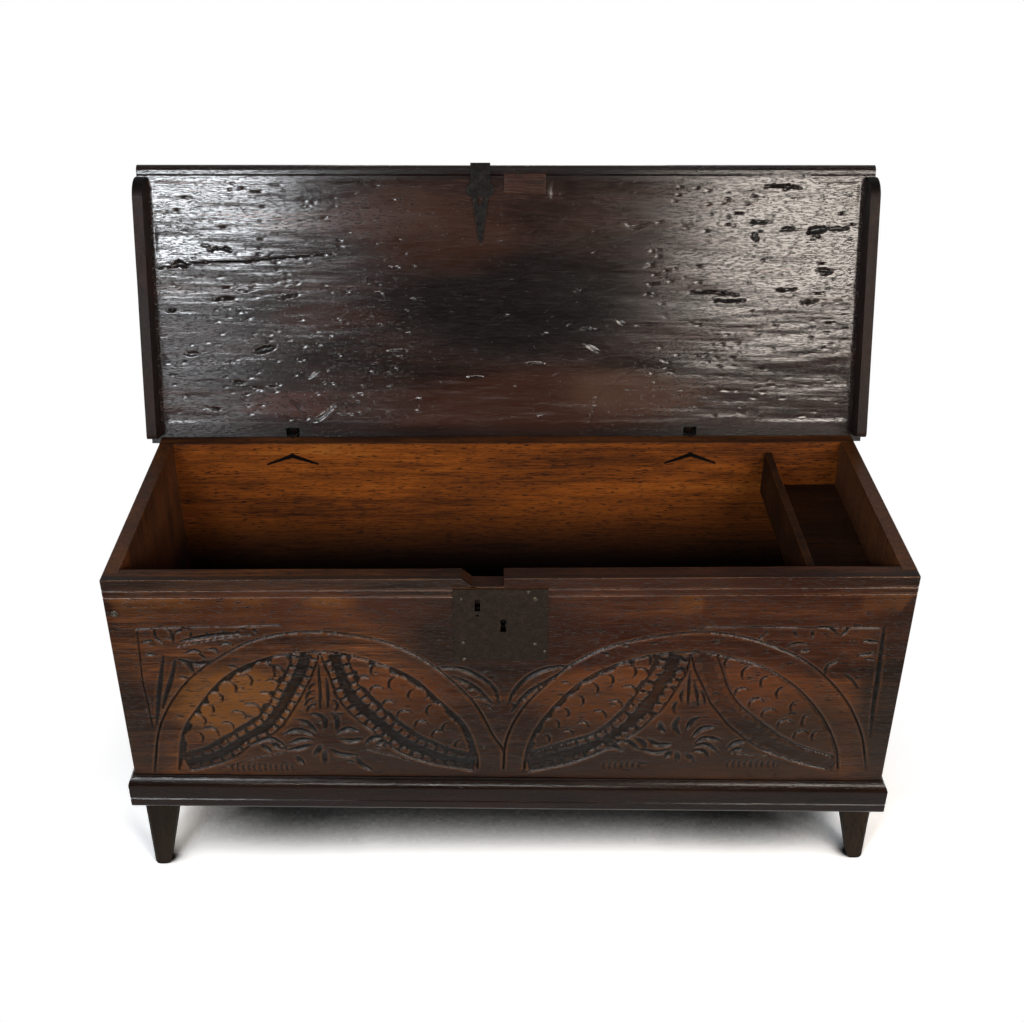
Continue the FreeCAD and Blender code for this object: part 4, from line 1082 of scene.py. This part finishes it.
# Painted shade in two strips of the underside: the strip by the hinge is darkened fully for the shadowed
# gap above the back board, and the strip under the nose partly.
painted_shade_strips = (above < 0.004) * np.where(up < HINGE_STRIP, 1.0, np.where(up > NOSE, 0.6, 0.0))
for name, values in (("dirt", painted_shade_strips), ("outer", (above > OUTER).astype(float))):
    lid.data.attributes.new(name, "FLOAT", "POINT").data.foreach_set("value", values)
delete_faces(scarred, lambda c, n: PATCH_LEFT < c.x < PATCH_RIGHT and HINGE[1] - c.y > PATCH_NEAR)
delete_faces(lid, lambda c, n: n.z < -0.99 and abs(c.z - HINGE[2]) < 0.0002)
close_gap(lid, scarred)
turn_piece(lid, back=True)

# %% [markdown]
# ## The other boards
# The ends, back, cleats, till and feet get the same worn arrises. The base moulding keeps the
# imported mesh, because its section is already round.

# %% Worn boards
WORN = {
    "left_end_board": ("case", "oak_inside", "ends", 0.0018),
    "right_end_board": ("case", "oak_inside", "ends", 0.0018),
    "back_board": ("case", "oak_inside", "back", 0.0018),
    "till_front_board": ("case", "oak_inside", "till", 0.0013),
    "till_floor_board": ("case", "oak_inside", "till", 0.0010),
    "lid_patch": ("lid", "oak_patch", "patch", 0.0006),
    "left_cleat": ("lid", "oak_lid", "cleats", 0.0022),
    "right_cleat": ("lid", "oak_lid", "cleats", 0.0022),
}
for corner in ("front_left", "front_right", "back_left", "back_right"):
    WORN[corner + "_foot"] = ("case", "oak_outside", "feet", 0.0022)
for seed, (name, (body, slot, kind, width)) in enumerate(WORN.items(), start=100):
    wear(start_from(name, body, kind), width, seed, least=0.012, pitch=0.009)
wear(start_from("lock_plate", "case", "plate"), 0.0005, 120, pitch=0.009,
     where=lambda a, b: (a - b).length > 0.1)

# %% [markdown]
# ## Nails
# Rosehead nails hold the boards. A smith forms each head with a few hammer blows, so it has five
# or so uneven facets round a low point. One head is made from an eight-sided disc, drawn in
# towards the top and tipped, and each nail is a copy with its own mesh, turned a little.

# %% One rosehead
bpy.ops.object.select_all(action="DESELECT")
bpy.ops.mesh.primitive_cylinder_add(vertices=8, radius=0.0047, depth=0.0024, location=(0, 0, 0.0006))
rosehead = bpy.context.object
bpy.ops.object.mode_set(mode="EDIT")
bpy.ops.mesh.select_mode(type="FACE")
bpy.ops.mesh.select_all(action="DESELECT")
bpy.ops.object.mode_set(mode="OBJECT")
for face in rosehead.data.polygons:
    face.select = face.normal.z > 0.9
bpy.ops.object.mode_set(mode="EDIT")
bpy.ops.mesh.inset(thickness=0.0014, depth=0.0006)
bpy.ops.mesh.inset(thickness=0.0015, depth=0.0004)
bpy.ops.transform.rotate(value=0.25, orient_axis="X", center_override=(0, 0, 0.0018))
bpy.ops.object.mode_set(mode="OBJECT")
print("faces in a nail head:", len(rosehead.data.polygons))

# %% Nails where they were driven: across, the face they sit on, height and size
RIM_HEIGHT = 552
PLATE_NAILS = ((-72.3, 32.4), (32.1, 33), (33.2, 111.9), (-69.8, 109.4), (-69.4, 138.2), (47.0, 125.6),
               (22.7, 21.6))
NAILS = [(x, plate_low.y / MM, RIM_HEIGHT - down, 0.6) for x, down in PLATE_NAILS]
NAILS.append((-561.8, front_y / MM, 496, 1.2))
for count, (x, y, z, size) in enumerate(NAILS):
    nail = bpy.data.objects.new("nail_%02d" % count, rosehead.data.copy())
    bpy.context.scene.collection.objects.link(nail)
    place = Matrix.Translation(Vector((x, y, z)) * MM) @ Matrix.Rotation(math.pi / 2, 4, "X")
    nail.data.transform(place @ Matrix.Rotation(count * 1.7, 4, "Z") @ Matrix.Scale(size, 4))
    nail.data.materials.append(finish["nail"])
    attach(nail, "case")
bpy.data.objects.remove(rosehead)
print("nails:", len(NAILS))
